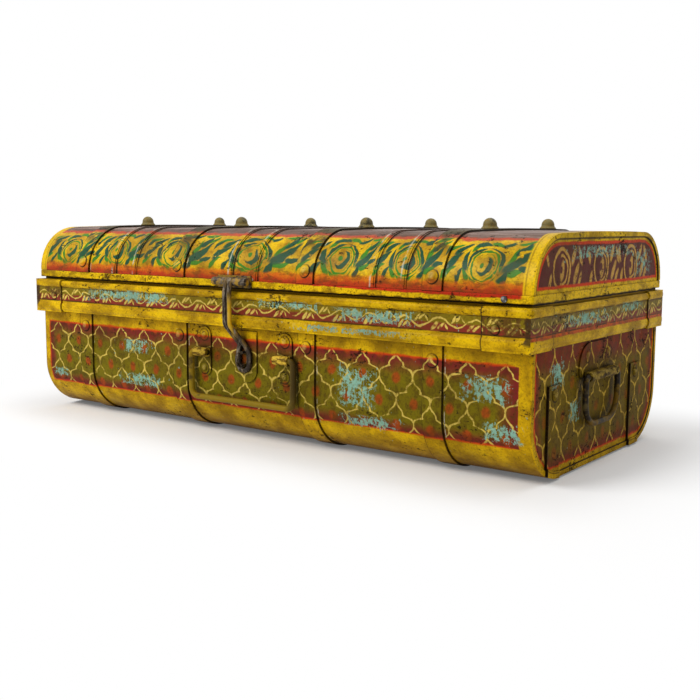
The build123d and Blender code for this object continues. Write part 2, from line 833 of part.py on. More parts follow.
with BuildPart() as hasp_pin:
    pin_head = plate_thickness / 2
    with Locations((hasp_place, hasp_pin_y, hasp_pin_z)):
        Cylinder(hasp_pin_radius, hinge_plate_length + 2 * pin_head, rotation=(0, 90, 0))
    for side in (-1, 1):
        head_x = hasp_place + side * (hinge_plate_length + pin_head) / 2
        with Locations((head_x, hasp_pin_y, hasp_pin_z)):
            Cylinder(hasp_pin_radius * 1.5, pin_head, rotation=(0, 90, 0))
save(hasp_pin, "hasp_pin")

# One bar bent double: eye round the pin, two strands over the rim, open loop over the staple
with BuildPart() as hasp:
    strand = hasp_bar_radius + hasp_strand_gap / 2
    bar_y = -(rim_depth / 2 + hardware_proud - hasp_bar_radius)
    loop_y = -(front_face + plate_thickness + running_gap + hasp_bar_radius)
    start_y = hasp_pin_y - hasp_bar_radius
    bend_z = tray_height - hasp_bend_drop
    left_x = staple_place - loop_width / 2
    right_x = staple_place + loop_width / 2
    throat_x = staple_place - throat_shift
    bar_bend = 4 * hasp_bar_radius
    loop_bend = loop_width * 0.49
    with BuildLine() as hasp_path:
        FilletPolyline(
            (hasp_place - strand, start_y, hasp_pin_z),
            (hasp_place - strand, bar_y, tray_height),
            (hasp_place - strand, bar_y, bend_z),
            (throat_x - strand, loop_y, throat_height),
            (left_x, loop_y, loop_top),
            (left_x, loop_y, loop_bottom),
            (right_x, loop_y, loop_bottom),
            (right_x, loop_y, loop_top),
            (throat_x + strand, loop_y, throat_height),
            (hasp_place + strand, bar_y, bend_z),
            (hasp_place + strand, bar_y, tray_height),
            (hasp_place + strand, start_y, hasp_pin_z),
            radius=(bar_bend, bar_bend, throat_bend, throat_bend, loop_bend)
            + (loop_bend, throat_bend, throat_bend, bar_bend, bar_bend),
        )
    with BuildSketch(Plane(origin=hasp_path.line @ 0, z_dir=hasp_path.line % 0)):
        Circle(hasp_bar_radius)
    sweep()
    with Locations((hasp_place, hasp_pin_y, hasp_pin_z)):
        Cylinder(hasp_eye_radius, hasp_eye_length, rotation=(0, 90, 0))
        Cylinder(
            hasp_pin_radius + pin_clearance,
            2 * hasp_eye_length,
            rotation=(0, 90, 0),
            mode=Mode.SUBTRACT,
        )
save(hasp, "hasp")

# --- Back hinges -----------------------------------------------------------------------------

middle_knuckle = hinge_width - 2 * (hinge_knuckle + running_gap)
outer_knuckle_x = (hinge_width - hinge_knuckle) / 2

# Tray leaf: lies on the beads of the rim band and carries the two outer knuckles
with BuildPart() as hinge_body_leaf_right:
    with Locations((hinge_place, band_depth / 2, body_leaf_bottom)):
        Box(
            hinge_width,
            plate_thickness,
            body_leaf_height,
            align=(Align.CENTER, Align.MIN, Align.MIN),
        )
    for side in (-1, 1):
        knuckle_x = hinge_place + side * outer_knuckle_x
        with Locations((knuckle_x, band_depth / 2, body_leaf_bottom)):
            Box(
                hinge_knuckle,
                plate_thickness,
                hinge_z - body_leaf_bottom,
                align=(Align.CENTER, Align.MIN, Align.MIN),
            )
        with Locations((knuckle_x, hinge_y, hinge_z)):
            Cylinder(hinge_radius, hinge_knuckle, rotation=(0, 90, 0))
    with Locations((hinge_place, hinge_y, hinge_z)):
        Cylinder(
            hinge_pin_radius + pin_clearance,
            2 * hinge_width,
            rotation=(0, 90, 0),
            mode=Mode.SUBTRACT,
        )
    drill(hinge_body_rivet_planes, shank_radius, 2 * plate_thickness)
save(hinge_body_leaf_right, "hinge_body_leaf_right")

with BuildPart() as hinge_body_leaf_left:
    mirror(hinge_body_leaf_right.part, about=Plane.YZ)
save(hinge_body_leaf_left, "hinge_body_leaf_left")

# Lid leaf: a plate on the lid flange and a flat arm over the rim to the middle knuckle
with BuildPart() as hinge_lid_leaf_right:
    arm_bottom = hinge_z + hinge_pin_radius + pin_clearance + running_gap
    with Locations((hinge_place, flange_face, lid_bottom + running_gap)):
        Box(
            hinge_width,
            plate_thickness,
            lid_leaf_height,
            align=(Align.CENTER, Align.MIN, Align.MIN),
        )
    with Locations((hinge_place, flange_face, arm_bottom)):
        Box(
            middle_knuckle,
            hinge_y - flange_face,
            plate_thickness,
            align=(Align.CENTER, Align.MIN, Align.MIN),
        )
    with Locations((hinge_place, hinge_y, hinge_z)):
        Cylinder(hinge_radius, middle_knuckle, rotation=(0, 90, 0))
        Cylinder(
            hinge_pin_radius + pin_clearance,
            2 * hinge_width,
            rotation=(0, 90, 0),
            mode=Mode.SUBTRACT,
        )
    drill(hinge_lid_rivet_planes, shank_radius, 2 * plate_thickness)
save(hinge_lid_leaf_right, "hinge_lid_leaf_right")

with BuildPart() as hinge_lid_leaf_left:
    mirror(hinge_lid_leaf_right.part, about=Plane.YZ)
save(hinge_lid_leaf_left, "hinge_lid_leaf_left")

with BuildPart() as hinge_pin_right:
    with Locations((hinge_place, hinge_y, hinge_z)):
        Cylinder(hinge_pin_radius, hinge_width + plate_thickness, rotation=(0, 90, 0))
save(hinge_pin_right, "hinge_pin_right")

with BuildPart() as hinge_pin_left:
    mirror(hinge_pin_right.part, about=Plane.YZ)
save(hinge_pin_left, "hinge_pin_left")

save_rivets(
    "hinge_body_rivets",
    hinge_body_rivet_planes,
    small_rivet_radius,
    small_rivet_height,
    plate_thickness + bead_depth + sheet,
)

save_rivets(
    "hinge_lid_rivets",
    hinge_lid_rivet_planes,
    small_rivet_radius,
    small_rivet_height,
    plate_thickness + flange_thickness + sheet,
)
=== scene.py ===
# %% [markdown]
# # A painted sheet-metal travel trunk
# The shape of the trunk comes ready made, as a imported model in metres. This lesson gives it its
# camera, its light, and above all its paint. A tin trunk of this kind is folded from sheet, then
# brushed by hand with enamel: yellow first, then bands, a trellis, a vine and leaf scrolls. All of
# that is drawn here with shader nodes, so no picture file is needed and every stroke has a size.

# %% Load the frame
import math

import bmesh
import bpy
from mathutils import Matrix, Vector

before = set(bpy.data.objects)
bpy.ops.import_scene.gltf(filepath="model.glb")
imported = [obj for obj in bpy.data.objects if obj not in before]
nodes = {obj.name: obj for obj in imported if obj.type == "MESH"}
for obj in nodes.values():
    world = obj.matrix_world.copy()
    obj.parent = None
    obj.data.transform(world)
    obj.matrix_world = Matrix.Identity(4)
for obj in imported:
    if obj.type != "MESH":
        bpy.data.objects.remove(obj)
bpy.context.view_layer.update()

# %% [markdown]
# ## Camera
# A trunk is best shown from a little above, turned so that the front and one end are seen. The
# camera could be aimed with a constraint, but its matrix is written straight from three angles,
# because then nothing else has to follow it.

# %% Camera
CAMERA_PLACE = Vector((0.7452, -0.9695, 0.2434))
YAW, PITCH, ROLL = (math.radians(angle) for angle in (36.44, -7.31, 0.34))


def aim(yaw, pitch, roll):
    """Turn of a camera that looks along yaw and pitch and is tipped by roll."""
    ahead = Vector(
        (-math.sin(yaw) * math.cos(pitch), math.cos(yaw) * math.cos(pitch), math.sin(pitch))
    )
    side = Vector((math.cos(yaw), math.sin(yaw), 0))
    over = side.cross(ahead)
    tipped_side = side * math.cos(roll) + over * math.sin(roll)
    tipped_over = over * math.cos(roll) - side * math.sin(roll)
    return Matrix((tipped_side, tipped_over, -ahead)).transposed().to_4x4()


camera_data = bpy.data.cameras.new("camera")
camera_data.lens = 52.05
camera_data.sensor_width = 36
camera_data.clip_start = 0.05
camera = bpy.data.objects.new("camera", camera_data)
camera.matrix_world = Matrix.Translation(CAMERA_PLACE) @ aim(YAW, PITCH, ROLL)
bpy.context.scene.collection.objects.link(camera)
bpy.context.scene.camera = camera
bpy.context.scene.view_settings.view_transform = "Standard"
print("camera", round(CAMERA_PLACE.length, 3), "m from the middle of the trunk")

# %% [markdown]
# ## Mixing paint with nodes
# A pattern in a shader is arithmetic on the place of each point. Written node by node it is long
# and hard to read, so a small class lets Python's own + - * / add the nodes. Lengths are in
# millimetres, read from Object coordinates, so a stroke of 2 is a stroke of 2 mm.

# %% A value that flows between nodes
class Flow:
    """A number or colour that leaves a node; arithmetic on it adds nodes to its paint."""

    def __init__(self, paint, socket):
        self.paint = paint
        self.socket = socket

    def __add__(self, other):
        return self.paint.math("ADD", self, other)

    def __sub__(self, other):
        return self.paint.math("SUBTRACT", self, other)

    def __rsub__(self, other):
        return self.paint.math("SUBTRACT", other, self)

    def __mul__(self, other):
        return self.paint.math("MULTIPLY", self, other)

    def __truediv__(self, other):
        return self.paint.math("DIVIDE", self, other)

    def __neg__(self):
        return self.paint.math("MULTIPLY", self, -1.0)

    def __abs__(self):
        return self.paint.math("ABSOLUTE", self)

    __radd__ = __add__
    __rmul__ = __mul__


# %% [markdown]
# ## A paint and what it can do
# Each finish is one material. The class below holds its shader and the few strokes that every
# pattern here is made of: a soft edge, a fold that repeats, cloudy noise, and a line that sways
# as a hand does. Node groups could do the same, but here the sizes stay in view.

# %% A paint
SEED_STEP = (7.3, 3.1, 5.7)     # how far one seed moves the noise, along each axis


def enamel(red, green, blue):
    """Colour from its values as a paint chart gives them, 0 to 255."""
    shares = (red / 255, green / 255, blue / 255)
    return tuple(s / 12.92 if s <= 0.04045 else ((s + 0.055) / 1.055) ** 2.4 for s in shares)


class Paint:
    """A material under the brush. x, y, z are the place in mm; nx, ny, nz the way it faces."""

    def __init__(self, name):
        self.material = bpy.data.materials.new(name)
        self.material.use_nodes = True
        self.tree = self.material.node_tree
        self.shader = self.tree.nodes["Principled BSDF"]
        source = self.tree.nodes.new("ShaderNodeTexCoord")
        self.place = Flow(self, source.outputs["Object"])
        self.facing = Flow(self, source.outputs["Normal"])
        self.x, self.y, self.z = (axis * 1000.0 for axis in self.split(self.place))
        self.nx, self.ny, self.nz = self.split(self.facing)

    def feed(self, socket, value):
        """Give a socket a plain value or a flow."""
        if isinstance(value, Flow):
            self.tree.links.new(value.socket, socket)
        elif isinstance(value, tuple) and socket.type == "RGBA":
            socket.default_value = (*value, 1.0)
        else:
            socket.default_value = value

    def split(self, vector):
        node = self.tree.nodes.new("ShaderNodeSeparateXYZ")
        self.feed(node.inputs[0], vector)
        return [Flow(self, output) for output in node.outputs]

    def math(self, operation, *values):
        node = self.tree.nodes.new("ShaderNodeMath")
        node.operation = operation
        for socket, value in zip(node.inputs, values):
            self.feed(socket, value)
        return Flow(self, node.outputs[0])

    def least(self, first, *others):
        for other in others:
            first = self.math("MINIMUM", first, other)
        return first

    def most(self, first, *others):
        for other in others:
            first = self.math("MAXIMUM", first, other)
        return first

    def fold(self, value, period):
        """Distance to the nearest multiple of period."""
        return self.math("PINGPONG", value, period / 2)

    def radius(self, across, up):
        return self.math("SQRT", across * across + up * up)

    def above(self, value, edge, soft):
        """0 below the edge and 1 above it, passing softly within soft each side."""
        node = self.tree.nodes.new("ShaderNodeMapRange")
        node.interpolation_type = "SMOOTHSTEP"
        self.feed(node.inputs["Value"], value)
        self.feed(node.inputs["From Min"], edge - soft)
        self.feed(node.inputs["From Max"], edge + soft)
        return Flow(self, node.outputs["Result"])

    def below(self, value, edge, soft):
        return 1.0 - self.above(value, edge, soft)

    def between(self, value, low, high, soft):
        return self.above(value, low, soft) * self.below(value, high, soft)

    def noise(self, size, detail=3.0, stretch=(1, 1, 1), seed=0.0, rough=0.55):
        """Cloudy noise, 0 to 1, with clouds about size mm across."""
        mapping = self.tree.nodes.new("ShaderNodeMapping")
        mapping.inputs["Scale"].default_value = [1000.0 / size / s for s in stretch]
        mapping.inputs["Location"].default_value = [seed * step for step in SEED_STEP]
        self.feed(mapping.inputs["Vector"], self.place)
        node = self.tree.nodes.new("ShaderNodeTexNoise")
        node.inputs["Scale"].default_value = 1.0
        node.inputs["Detail"].default_value = detail
        node.inputs["Roughness"].default_value = rough
        self.tree.links.new(mapping.outputs[0], node.inputs["Vector"])
        return Flow(self, node.outputs[0])

    def sway(self, size, reach, seed=0.0):
        """A push of up to reach mm either way, for a line drawn by hand."""
        return (self.noise(size, 2.0, seed=seed) - 0.5) * (2.0 * reach)

    def blend(self, under, over, share):
        """Colour over laid on colour under, where share is 1."""
        node = self.tree.nodes.new("ShaderNodeMix")
        node.data_type = "RGBA"
        self.feed(node.inputs[0], share)
        self.feed(node.inputs[6], under)
        self.feed(node.inputs[7], over)
        return Flow(self, node.outputs[2])

    def curve(self, value, points):
        """Value passed through a drawn curve; both run from 0 to 1."""
        node = self.tree.nodes.new("ShaderNodeFloatCurve")
        line = node.mapping.curves[0]
        line.points[0].location = points[0]
        line.points[-1].location = points[-1]
        for place in points[1:-1]:
            line.points.new(*place)
        node.mapping.update()
        self.feed(node.inputs["Value"], value)
        return Flow(self, node.outputs[0])

    def crevice(self, reach):
        """1 deep in a corner, 0 in the open; reach in mm."""
        node = self.tree.nodes.new("ShaderNodeAmbientOcclusion")
        node.samples = 6
        node.inputs["Distance"].default_value = reach / 1000.0
        return 1.0 - Flow(self, node.outputs["AO"])

    def outside(self, centre_height):
        """1 on the outer face of a sheet and 0 on its inner face."""
        turned = self.nx * self.x + self.ny * self.y + self.nz * (self.z - centre_height)
        return self.above(turned, 0.0, 0.5)

    def finish(self, colour, rough, height, depth, metal=0.0, shine=0.06):
        """Wire up the shader: colour, roughness, and a relief of depth mm."""
        bump = self.tree.nodes.new("ShaderNodeBump")
        bump.inputs["Strength"].default_value = 1.0
        bump.inputs["Distance"].default_value = depth / 1000.0
        self.feed(bump.inputs["Height"], height)
        self.tree.links.new(bump.outputs[0], self.shader.inputs["Normal"])
        self.feed(self.shader.inputs["Base Color"], colour)
        self.feed(self.shader.inputs["Roughness"], rough)
        self.feed(self.shader.inputs["Metallic"], metal)
        self.shader.inputs["Specular IOR Level"].default_value = shine
        return self.material


def dress(material, *names):
    """Put one material on CAD nodes."""
    for name in names:
        piece = nodes[name]
        piece.data.materials.clear()
        piece.data.materials.append(material)


# %% [markdown]
# ## The colours in the pots
# The painter used few enamels: a mustard yellow for every edge and bead, olive and maroon for the
# grounds, an orange red for lines, a cream made by letting yellow down with white, and two greens.
# Under them lies the trunk's older coat, a pale turquoise, which shows where the paint has chipped.

# %% Colours
MUSTARD = enamel(203, 160, 2)
BRIGHT_YELLOW = enamel(226, 184, 4)
BROWN_YELLOW = enamel(138, 102, 2)
OLIVE = enamel(112, 100, 6)
MAROON = enamel(114, 34, 29)
ORANGE_RED = enamel(203, 58, 14)
RUST = enamel(160, 62, 16)
CREAM = enamel(212, 184, 84)
TURQUOISE = enamel(130, 176, 156)
DARK_GREEN = enamel(12, 72, 46)
LEAF_GREEN = enamel(58, 122, 22)
MAUVE = enamel(136, 108, 96)
# near-black for grime and flaked iron, and also for painted shade in corners, along edges and round
# rivets
GRIME_AND_SHADE = enamel(24, 15, 6)
DARK_IRON = enamel(50, 42, 34)
WORN_IRON = enamel(112, 100, 84)
print("enamels in sRGB, mixed to linear: mustard", [round(v, 3) for v in MUSTARD])

# %% [markdown]
# ## Age and painted shade
# Long use leaves the same marks on every surface: grime gathers where two pieces meet, and there
# the paint is also darkened as painted shade; dark specks show where enamel has flaked down to
# iron, and the yellow is uneven because it was brushed thinly. These marks are put on last, over
# each pattern, by one function.

# %% Age marks
RIM_LENGTH, RIM_DEPTH = 700.0, 334.0
STRAP_PLACES = [share * RIM_LENGTH for share in (-0.376, -0.14, 0.126, 0.346)]
CLOUD_BROWN = enamel(70, 48, 6)
GRAIN_BROWN = enamel(74, 52, 4)
CROWN_WEAR_AND_HIGHLIGHT = enamel(206, 178, 92)
BARE_SHEET = (enamel(70, 62, 50), enamel(40, 34, 28))
BODY_CENTRE = 118.0     # height on the trunk's axis that the body's outer faces turn from


def patch(paint, across, up, boxes):
    """1 in the middle of each box, fading to 0 at its edge. A box: middle and half sizes."""
    covers = []
    for middle_a, middle_u, half_a, half_u in boxes:
        out_a = abs(across - middle_a) / half_a
        out_u = abs(up - middle_u) / half_u
        covers.append(paint.below(paint.most(out_a, out_u), 0.75, 0.5))
    return paint.most(*covers)


def chipped(paint, colour, cover, weight=0.15):
    """Turquoise undercoat where cover is near 1, in ragged flakes with short drips."""
    flakes = paint.noise(6.0, 6.0, (1.4, 1.4, 1.0), seed=3.0, rough=0.72)
    drips = paint.noise(3.4, 4.0, (0.7, 0.7, 3.4), seed=5.0)
    bare = paint.above(flakes * 0.6 + drips * 0.4 + cover * weight, 0.652, 0.02)
    veins = paint.below(abs(paint.noise(11.0, 4.0, seed=7.0, rough=0.6) - 0.5), 0.014, 0.008)
    bare = paint.most(bare, veins * paint.above(cover, 0.55, 0.25))
    return paint.blend(colour, TURQUOISE, bare * 0.92), bare


def aged(paint, colour, specks=0.5, crevice_reach=7.0):
    """Brush streaks, flaked specks, and grime and painted shade in the corners."""
    cloud = paint.noise(50.0, 5.0, (1.6, 1.6, 1.0), seed=11.0, rough=0.6)
    colour = paint.blend(colour, CLOUD_BROWN, paint.above(cloud, 0.56, 0.16) * 0.42)
    dust = paint.noise(3.2, 4.0, (1.6, 1.6, 1.0), seed=17.0, rough=0.7)
    where = paint.noise(34.0, 3.0, seed=23.0)
    grain = paint.noise(2.2, 3.0, seed=19.0, rough=0.7)
    grainy = paint.above(grain, 0.57, 0.07) * (0.1 + 0.5 * specks)
    colour = paint.blend(colour, GRAIN_BROWN, grainy)
    flaked = paint.above(dust * 0.6 + where * 0.4, 0.63 - 0.05 * specks, 0.02)
    colour = paint.blend(colour, GRIME_AND_SHADE, flaked * 0.85)
    # painted shade, with grime: an occlusion node darkens corners and the gaps between parts
    corner = paint.crevice(crevice_reach)
    ragged = corner * 1.25 + (paint.noise(9.0, 4.0, seed=29.0) - 0.5) * 0.5
    colour = paint.blend(colour, GRIME_AND_SHADE, paint.above(ragged, 0.56, 0.28) * 0.92)
    return colour, flaked


def bare_inside(paint, colour, centre_height=BODY_CENTRE):
    """Plain dark sheet on the inner face; colour stays outside."""
    plain = paint.blend(*BARE_SHEET, paint.noise(40.0, 5.0))
    return paint.blend(plain, colour, paint.outside(centre_height))


def rivet_shade_and_highlight(paint, colour, across, up, places, radius=6.7):
    """Grime and painted shade in a ring round each rivet, thicker below on the right, and a crown
    of rub wear and painted highlight.
    """
    for place_a, place_u in places:
        side_a, side_u = across - place_a, up - place_u
        reach = paint.radius(side_a, side_u)
        ring = paint.below(abs(reach - radius), 0.7, 0.6)
        # painted shade: the ring is thicker below on the right
        lower_right = paint.above(side_a - side_u * 0.6, 0.0, 4.0)
        colour = paint.blend(colour, GRIME_AND_SHADE, ring * (lower_right * 0.55 + 0.4))
        # painted highlight with rub wear: a pale crown set up and to the left on each head
        crown = paint.below(paint.radius(side_a + 1.0, side_u - 1.0), radius * 0.45, 1.2)
        colour = paint.blend(colour, CROWN_WEAR_AND_HIGHLIGHT, crown * 0.35)
    return colour


# %% [markdown]
# ## The trellis on the walls
# The walls carry a lattice of four-lobed cells. It isn't stencilled: each strand is pulled down
# with a brush from one crossing to the next. All strands have one shape, mirrored left and right,
# so the pattern is folded: the distance to the nearest crossing above says where the strand should
# be, a drawn curve gives its shape, and the next row is the same, moved on by half a cell.

# %% Trellis
CELL_WIDTH = 40.0
ROW_HEIGHT = 24.0
STRAND_SHAPE = (
    (0, 0),
    (0.1, 0.05),
    (0.2, 0.14),
    (0.4, 0.38),
    (0.54, 0.43),
    (0.61, 0.66),
    (0.74, 0.93),
    (1, 1),
)
STRAND_SLANT = (
    (0, 0.92),
    (0.1, 0.86),
    (0.3, 0.7),
    (0.47, 0.96),
    (0.575, 0.36),
    (0.68, 0.5),
    (0.85, 0.96),
    (1, 0.98),
)


def trellis(paint, across, down, row_height):
    """Cover of the strands and of the dots; both lengths in mm."""
    across = across + paint.sway(26.0, 2.9, 31.0) + paint.sway(6.0, 0.6, 33.0)
    down = down + paint.sway(24.0, 2.0, 37.0)
    row = paint.math("FLOOR", down / row_height)
    along = down / row_height - row
    half_step = paint.math("FLOORED_MODULO", row, 2.0) * (CELL_WIDTH / 2)
    from_crossing = paint.fold(across + half_step, CELL_WIDTH)
    strand = paint.curve(along, STRAND_SHAPE) * (CELL_WIDTH / 2)
    off_line = abs(from_crossing - strand) * paint.curve(along, STRAND_SLANT)
    stroke = paint.noise(8.0, 4.0, seed=41.0, rough=0.7) * 2.6 - 0.45
    strands = paint.below(off_line - stroke, 0.0, 0.35)
    near_row = paint.math("ROUND", down / row_height)
    dot_step = (paint.math("FLOORED_MODULO", near_row, 2.0) + 1.0) * (CELL_WIDTH / 2)
    dot_x = paint.fold(across + dot_step, CELL_WIDTH)
    dot_z = paint.fold(down, row_height) * 0.85
    dots = paint.below(paint.radius(dot_x, dot_z) + paint.sway(9.0, 1.6, 43.0), 4.7, 1.7)
    return strands, dots


FIELD_DIRT = enamel(48, 30, 8)
FIELD_SMUDGE = enamel(70, 50, 6)
HALF_FIELD = 335.0          # from the middle of a long wall to the frame's side
RED_FADES = 326.0           # right of this the frame's red line is worn away


def trellis_field(paint, colour, inside, across, down, look, row_height=ROW_HEIGHT):
    """A framed field of trellis on colour. inside is the distance in from the frame."""
    ground, edge, line, dot_share = look
    shade = paint.least(inside, down * 0.62, (HALF_FIELD - across) * 0.5)
    shade = shade + paint.sway(22.0, 5.0, 47.0)
    field = paint.blend(edge, ground, paint.above(shade, 9.0, 6.0))
    strands, dots = trellis(paint, across, down, row_height)
    field = paint.blend(field, RUST, dots * dot_share)
    dirt = paint.noise(10.0, 5.0, seed=49.0, rough=0.7)
    field = paint.blend(field, FIELD_DIRT, paint.above(dirt, 0.56, 0.1) * 0.45)
    worn = paint.below(paint.noise(14.0, 5.0, seed=53.0, rough=0.65), 0.6, 0.07)
    field = paint.blend(field, line, strands * worn * 0.92)
    smudge = paint.noise(5.0, 5.0, (1.0, 1.0, 1.8), seed=57.0, rough=0.7)
    field = paint.blend(field, FIELD_SMUDGE, paint.above(smudge, 0.57, 0.05) * 0.5)
    colour = paint.blend(colour, field, paint.above(inside + paint.sway(12.0, 0.8, 59.0), 0.0, 0.5))
    thick = paint.noise(30.0, 4.0, seed=63.0, rough=0.65) * 3.6 - 0.7
    red = paint.below(abs(inside + paint.sway(16.0, 1.4, 61.0)) - thick, 0.0, 1.0)
    faded = paint.above(across + paint.sway(20.0, 6.0, 65.0), RED_FADES, 5.0) * 0.75
    return paint.blend(colour, ORANGE_RED, red * (0.82 - faded))


# %% [markdown]
# ## Front, floor and back: one bent sheet
# The sheet turns under the trunk in a wide bend, and the painter's frame follows it. So the way
# down is measured along the sheet, as a tape would, and not straight down. The straps and the
# handle plates were on before the paint, so the same brush went over them.

# %% Body paint
BEND_CENTRE_Y = 97.0
BEND_CENTRE_Z = 60.0
BEND_RADIUS = 58.0
FIRST_ROW = 115.2       # height of the first row of crossings
FRAME_DROP = 79.5       # along the sheet, from that row to the frame's lower line
HALF_STRAP = 11.0
STRAP_HIGHLIGHT_LINE = enamel(205, 195, 170)


def down_the_sheet(paint):
    """Length along the bent sheet below the first row of crossings."""
    out = paint.most(abs(paint.y) - BEND_CENTRE_Y, 0.0)
    low = paint.most(BEND_CENTRE_Z - paint.z, 0.0)
    turn = paint.math("ARCTAN2", low, out) * BEND_RADIUS
    straight = FIRST_ROW - paint.most(paint.z, BEND_CENTRE_Z)
    under = paint.most(BEND_CENTRE_Y - abs(paint.y), 0.0)
    return straight + turn + under * paint.below(paint.z, 30.0, 1.0)


def strap_edges(paint, colour):
    """Dark line of grime and painted shade along the straps' edges, with a painted highlight line
    beside it.
    """
    right = paint.least(*(abs(paint.x - (place + HALF_STRAP + 0.4)) for place in STRAP_PLACES))
    left = paint.least(*(abs(paint.x - (place - HALF_STRAP)) for place in STRAP_PLACES))
    # painted highlight: a broken pale line just right of each strap
    rub_and_glint = paint.least(*(abs(paint.x - (place + HALF_STRAP + 2.4)) for place in STRAP_PLACES))
    broken = paint.noise(12.0, 3.0, seed=67.0)
    highlight_here = paint.below(rub_and_glint, 0.4, 0.4) * paint.above(broken, 0.6, 0.08)
    colour = paint.blend(colour, STRAP_HIGHLIGHT_LINE, highlight_here)
    # grime and painted shade: a dark line along each strap's right edge, and a fainter one on its
    # left
    line = 0.15 + broken * 0.8
    colour = paint.blend(colour, GRIME_AND_SHADE, paint.below(right - line, 0.0, 0.4) * 0.92)
    left_line = paint.below(left, 0.7, 0.5) * paint.above(broken, 0.42, 0.1)
    return paint.blend(colour, GRIME_AND_SHADE, left_line * 0.7)


# %% [markdown]
# The front is built up in layers: yellow, the framed trellis, the chips, and then the marks of
# wear with painted shade and highlights. The chips, the rivets and the edges of the plates are
# each placed in mm.

# %% Front and back
UNDERSIDE_SHADE = enamel(118, 78, 4)
BARREL_YELLOW, BARREL_BROWN = enamel(206, 170, 56), enamel(96, 70, 16)
STRAP_RIVET_HEIGHT = 111.5
PLATE_PLACE = 59.0                      # handle plates, each side of the middle
PLATE_RIVET_HEIGHTS = (115.0, 77.0)
PLATE_SIDES = (-48.7, 69.3, 19.8)       # right edges of the handle plates and the staple plate
BODY_CHIPS = (
    (-172.0, 22.0, 30.0, 11.0),
    (-168.0, 63.0, 44.0, 10.0),
    (152.0, 40.0, 30.0, 26.0),
    (165.0, 74.0, 44.0, 9.0),
    (300.0, 26.0, 32.0, 16.0),
    (318.0, 66.0, 26.0, 12.0),
    (-318.0, 66.0, 20.0, 8.0),
)


def paint_body(name, inner):
    paint = Paint(name)
    down = down_the_sheet(paint)
    inside = paint.least(HALF_FIELD - abs(paint.x + 2.0), down - 2.0, FRAME_DROP - down)
    mottle = paint.noise(26.0, 5.0, seed=71.0, rough=0.65)
    yellow = paint.blend(MUSTARD, BROWN_YELLOW, paint.above(mottle, 0.54, 0.12) * 0.75)
    yellow = paint.blend(yellow, BRIGHT_YELLOW, paint.below(mottle, 0.42, 0.08) * 0.8)
    # painted shade: the sheet goes brown where it bends under the trunk
    underside_shade = paint.above(down + paint.sway(30.0, 9.0, 73.0), 106.0, 18.0)
    yellow = paint.blend(yellow, UNDERSIDE_SHADE, underside_shade * 0.85)
    look = (OLIVE, MAROON, CREAM, 0.85)
    colour = trellis_field(paint, yellow, inside, paint.x, down, look)
    front = paint.below(paint.y, 0.0, 1.0)
    chips = patch(paint, paint.x, down, BODY_CHIPS)
    colour, bare = chipped(paint, colour, chips * front, 0.155)
    colour = strap_edges(paint, colour)
    if not inner:
        rivets = [(place, STRAP_RIVET_HEIGHT) for place in STRAP_PLACES]
        for side in (-PLATE_PLACE, PLATE_PLACE):
            rivets += [(side, height) for height in PLATE_RIVET_HEIGHTS]
        colour = rivet_shade_and_highlight(paint, colour, paint.x, paint.z, rivets)
        # painted shade, with grime: a dark line down the right edge of each handle plate and of the
        # staple plate
        sides = paint.least(*(abs(paint.x - place) for place in PLATE_SIDES))
        on_plate = paint.between(paint.z, 70.0, 120.0, 4.0)
        colour = paint.blend(colour, GRIME_AND_SHADE, paint.below(sides, 0.8, 0.4) * on_plate * 0.9)
        # the rolled barrels: brass-yellow paint with dark streaks; the bright yellow is partly
        # painted highlight along the roll
        proud = paint.above(-paint.y, 158.5, 0.5) * paint.between(paint.z, 88.0, 104.0, 1.0)
        streak = paint.noise(4.0, 4.0, (2.2, 1.0, 0.8), seed=81.0, rough=0.65)
        barrel = paint.blend(BARREL_YELLOW, BARREL_BROWN, paint.above(streak, 0.52, 0.07))
        colour = paint.blend(colour, barrel, proud * paint.above(abs(paint.x), 40.0, 2.0))
    colour, flaked = aged(paint, colour)
    if inner:
        colour = bare_inside(paint, colour)
    brush = paint.noise(5.0, 4.0, (3.0, 3.0, 1.0), seed=79.0)
    rough = 0.36 + mottle * 0.28 + flaked * 0.2 + bare * 0.2
    dent = paint.noise(55.0, 2.0, seed=83.0)
    height = brush * 0.12 + dent * 0.9 - flaked * 0.12 - bare * 0.08
    return paint.finish(colour, rough, height, 1.6)


body_paint = paint_body("wall enamel", inner=True)
strap_paint = paint_body("strap enamel", inner=False)
dress(body_paint, "body_wrap")
dress(strap_paint, *(f"body_strap_{number}" for number in range(1, 5)))
dress(strap_paint, "front_handle_plate_left", "front_handle_plate_right", "staple_plate")
print("wall paint has", len(body_paint.node_tree.nodes), "nodes")

# %% [markdown]
# ## The rim band
# The rolled band has a round bead above and below, both yellow, and a flat between them. The flat
# is olive over maroon with a running vine in cream: one wave, and pairs of short leaf strokes in
# its hollows. A wave is a sine of the place along the band, and a stroke is a turned ellipse.

# %% Vine
VINE_PERIOD = 39.0
VINE_MIDDLE = 149.3
VINE_SWING = 4.3
LEAF_STROKES = (
    (6.0, 3.4, 50.0, 4.4, 1.3),
    (11.0, 4.4, 40.0, 4.0, 1.2),
    (16.5, 3.2, 128.0, 3.0, 0.9),
    (25.0, -3.4, 48.0, 4.8, 1.7),
    (31.0, -3.2, 42.0, 4.2, 1.4),
    (36.5, -3.6, 118.0, 2.6, 0.8),
)


def ellipse(paint, across, up, middle_a, middle_u, degrees, length, width):
    """Cover of a brush stroke: an ellipse of half length and half width, turned by degrees."""
    turn = math.radians(degrees)
    along = (across - middle_a) * math.cos(turn) + (up - middle_u) * math.sin(turn)
    side = (up - middle_u) * math.cos(turn) - (across - middle_a) * math.sin(turn)
    return paint.below(paint.radius(along / length, side / width), 1.0, 0.25)


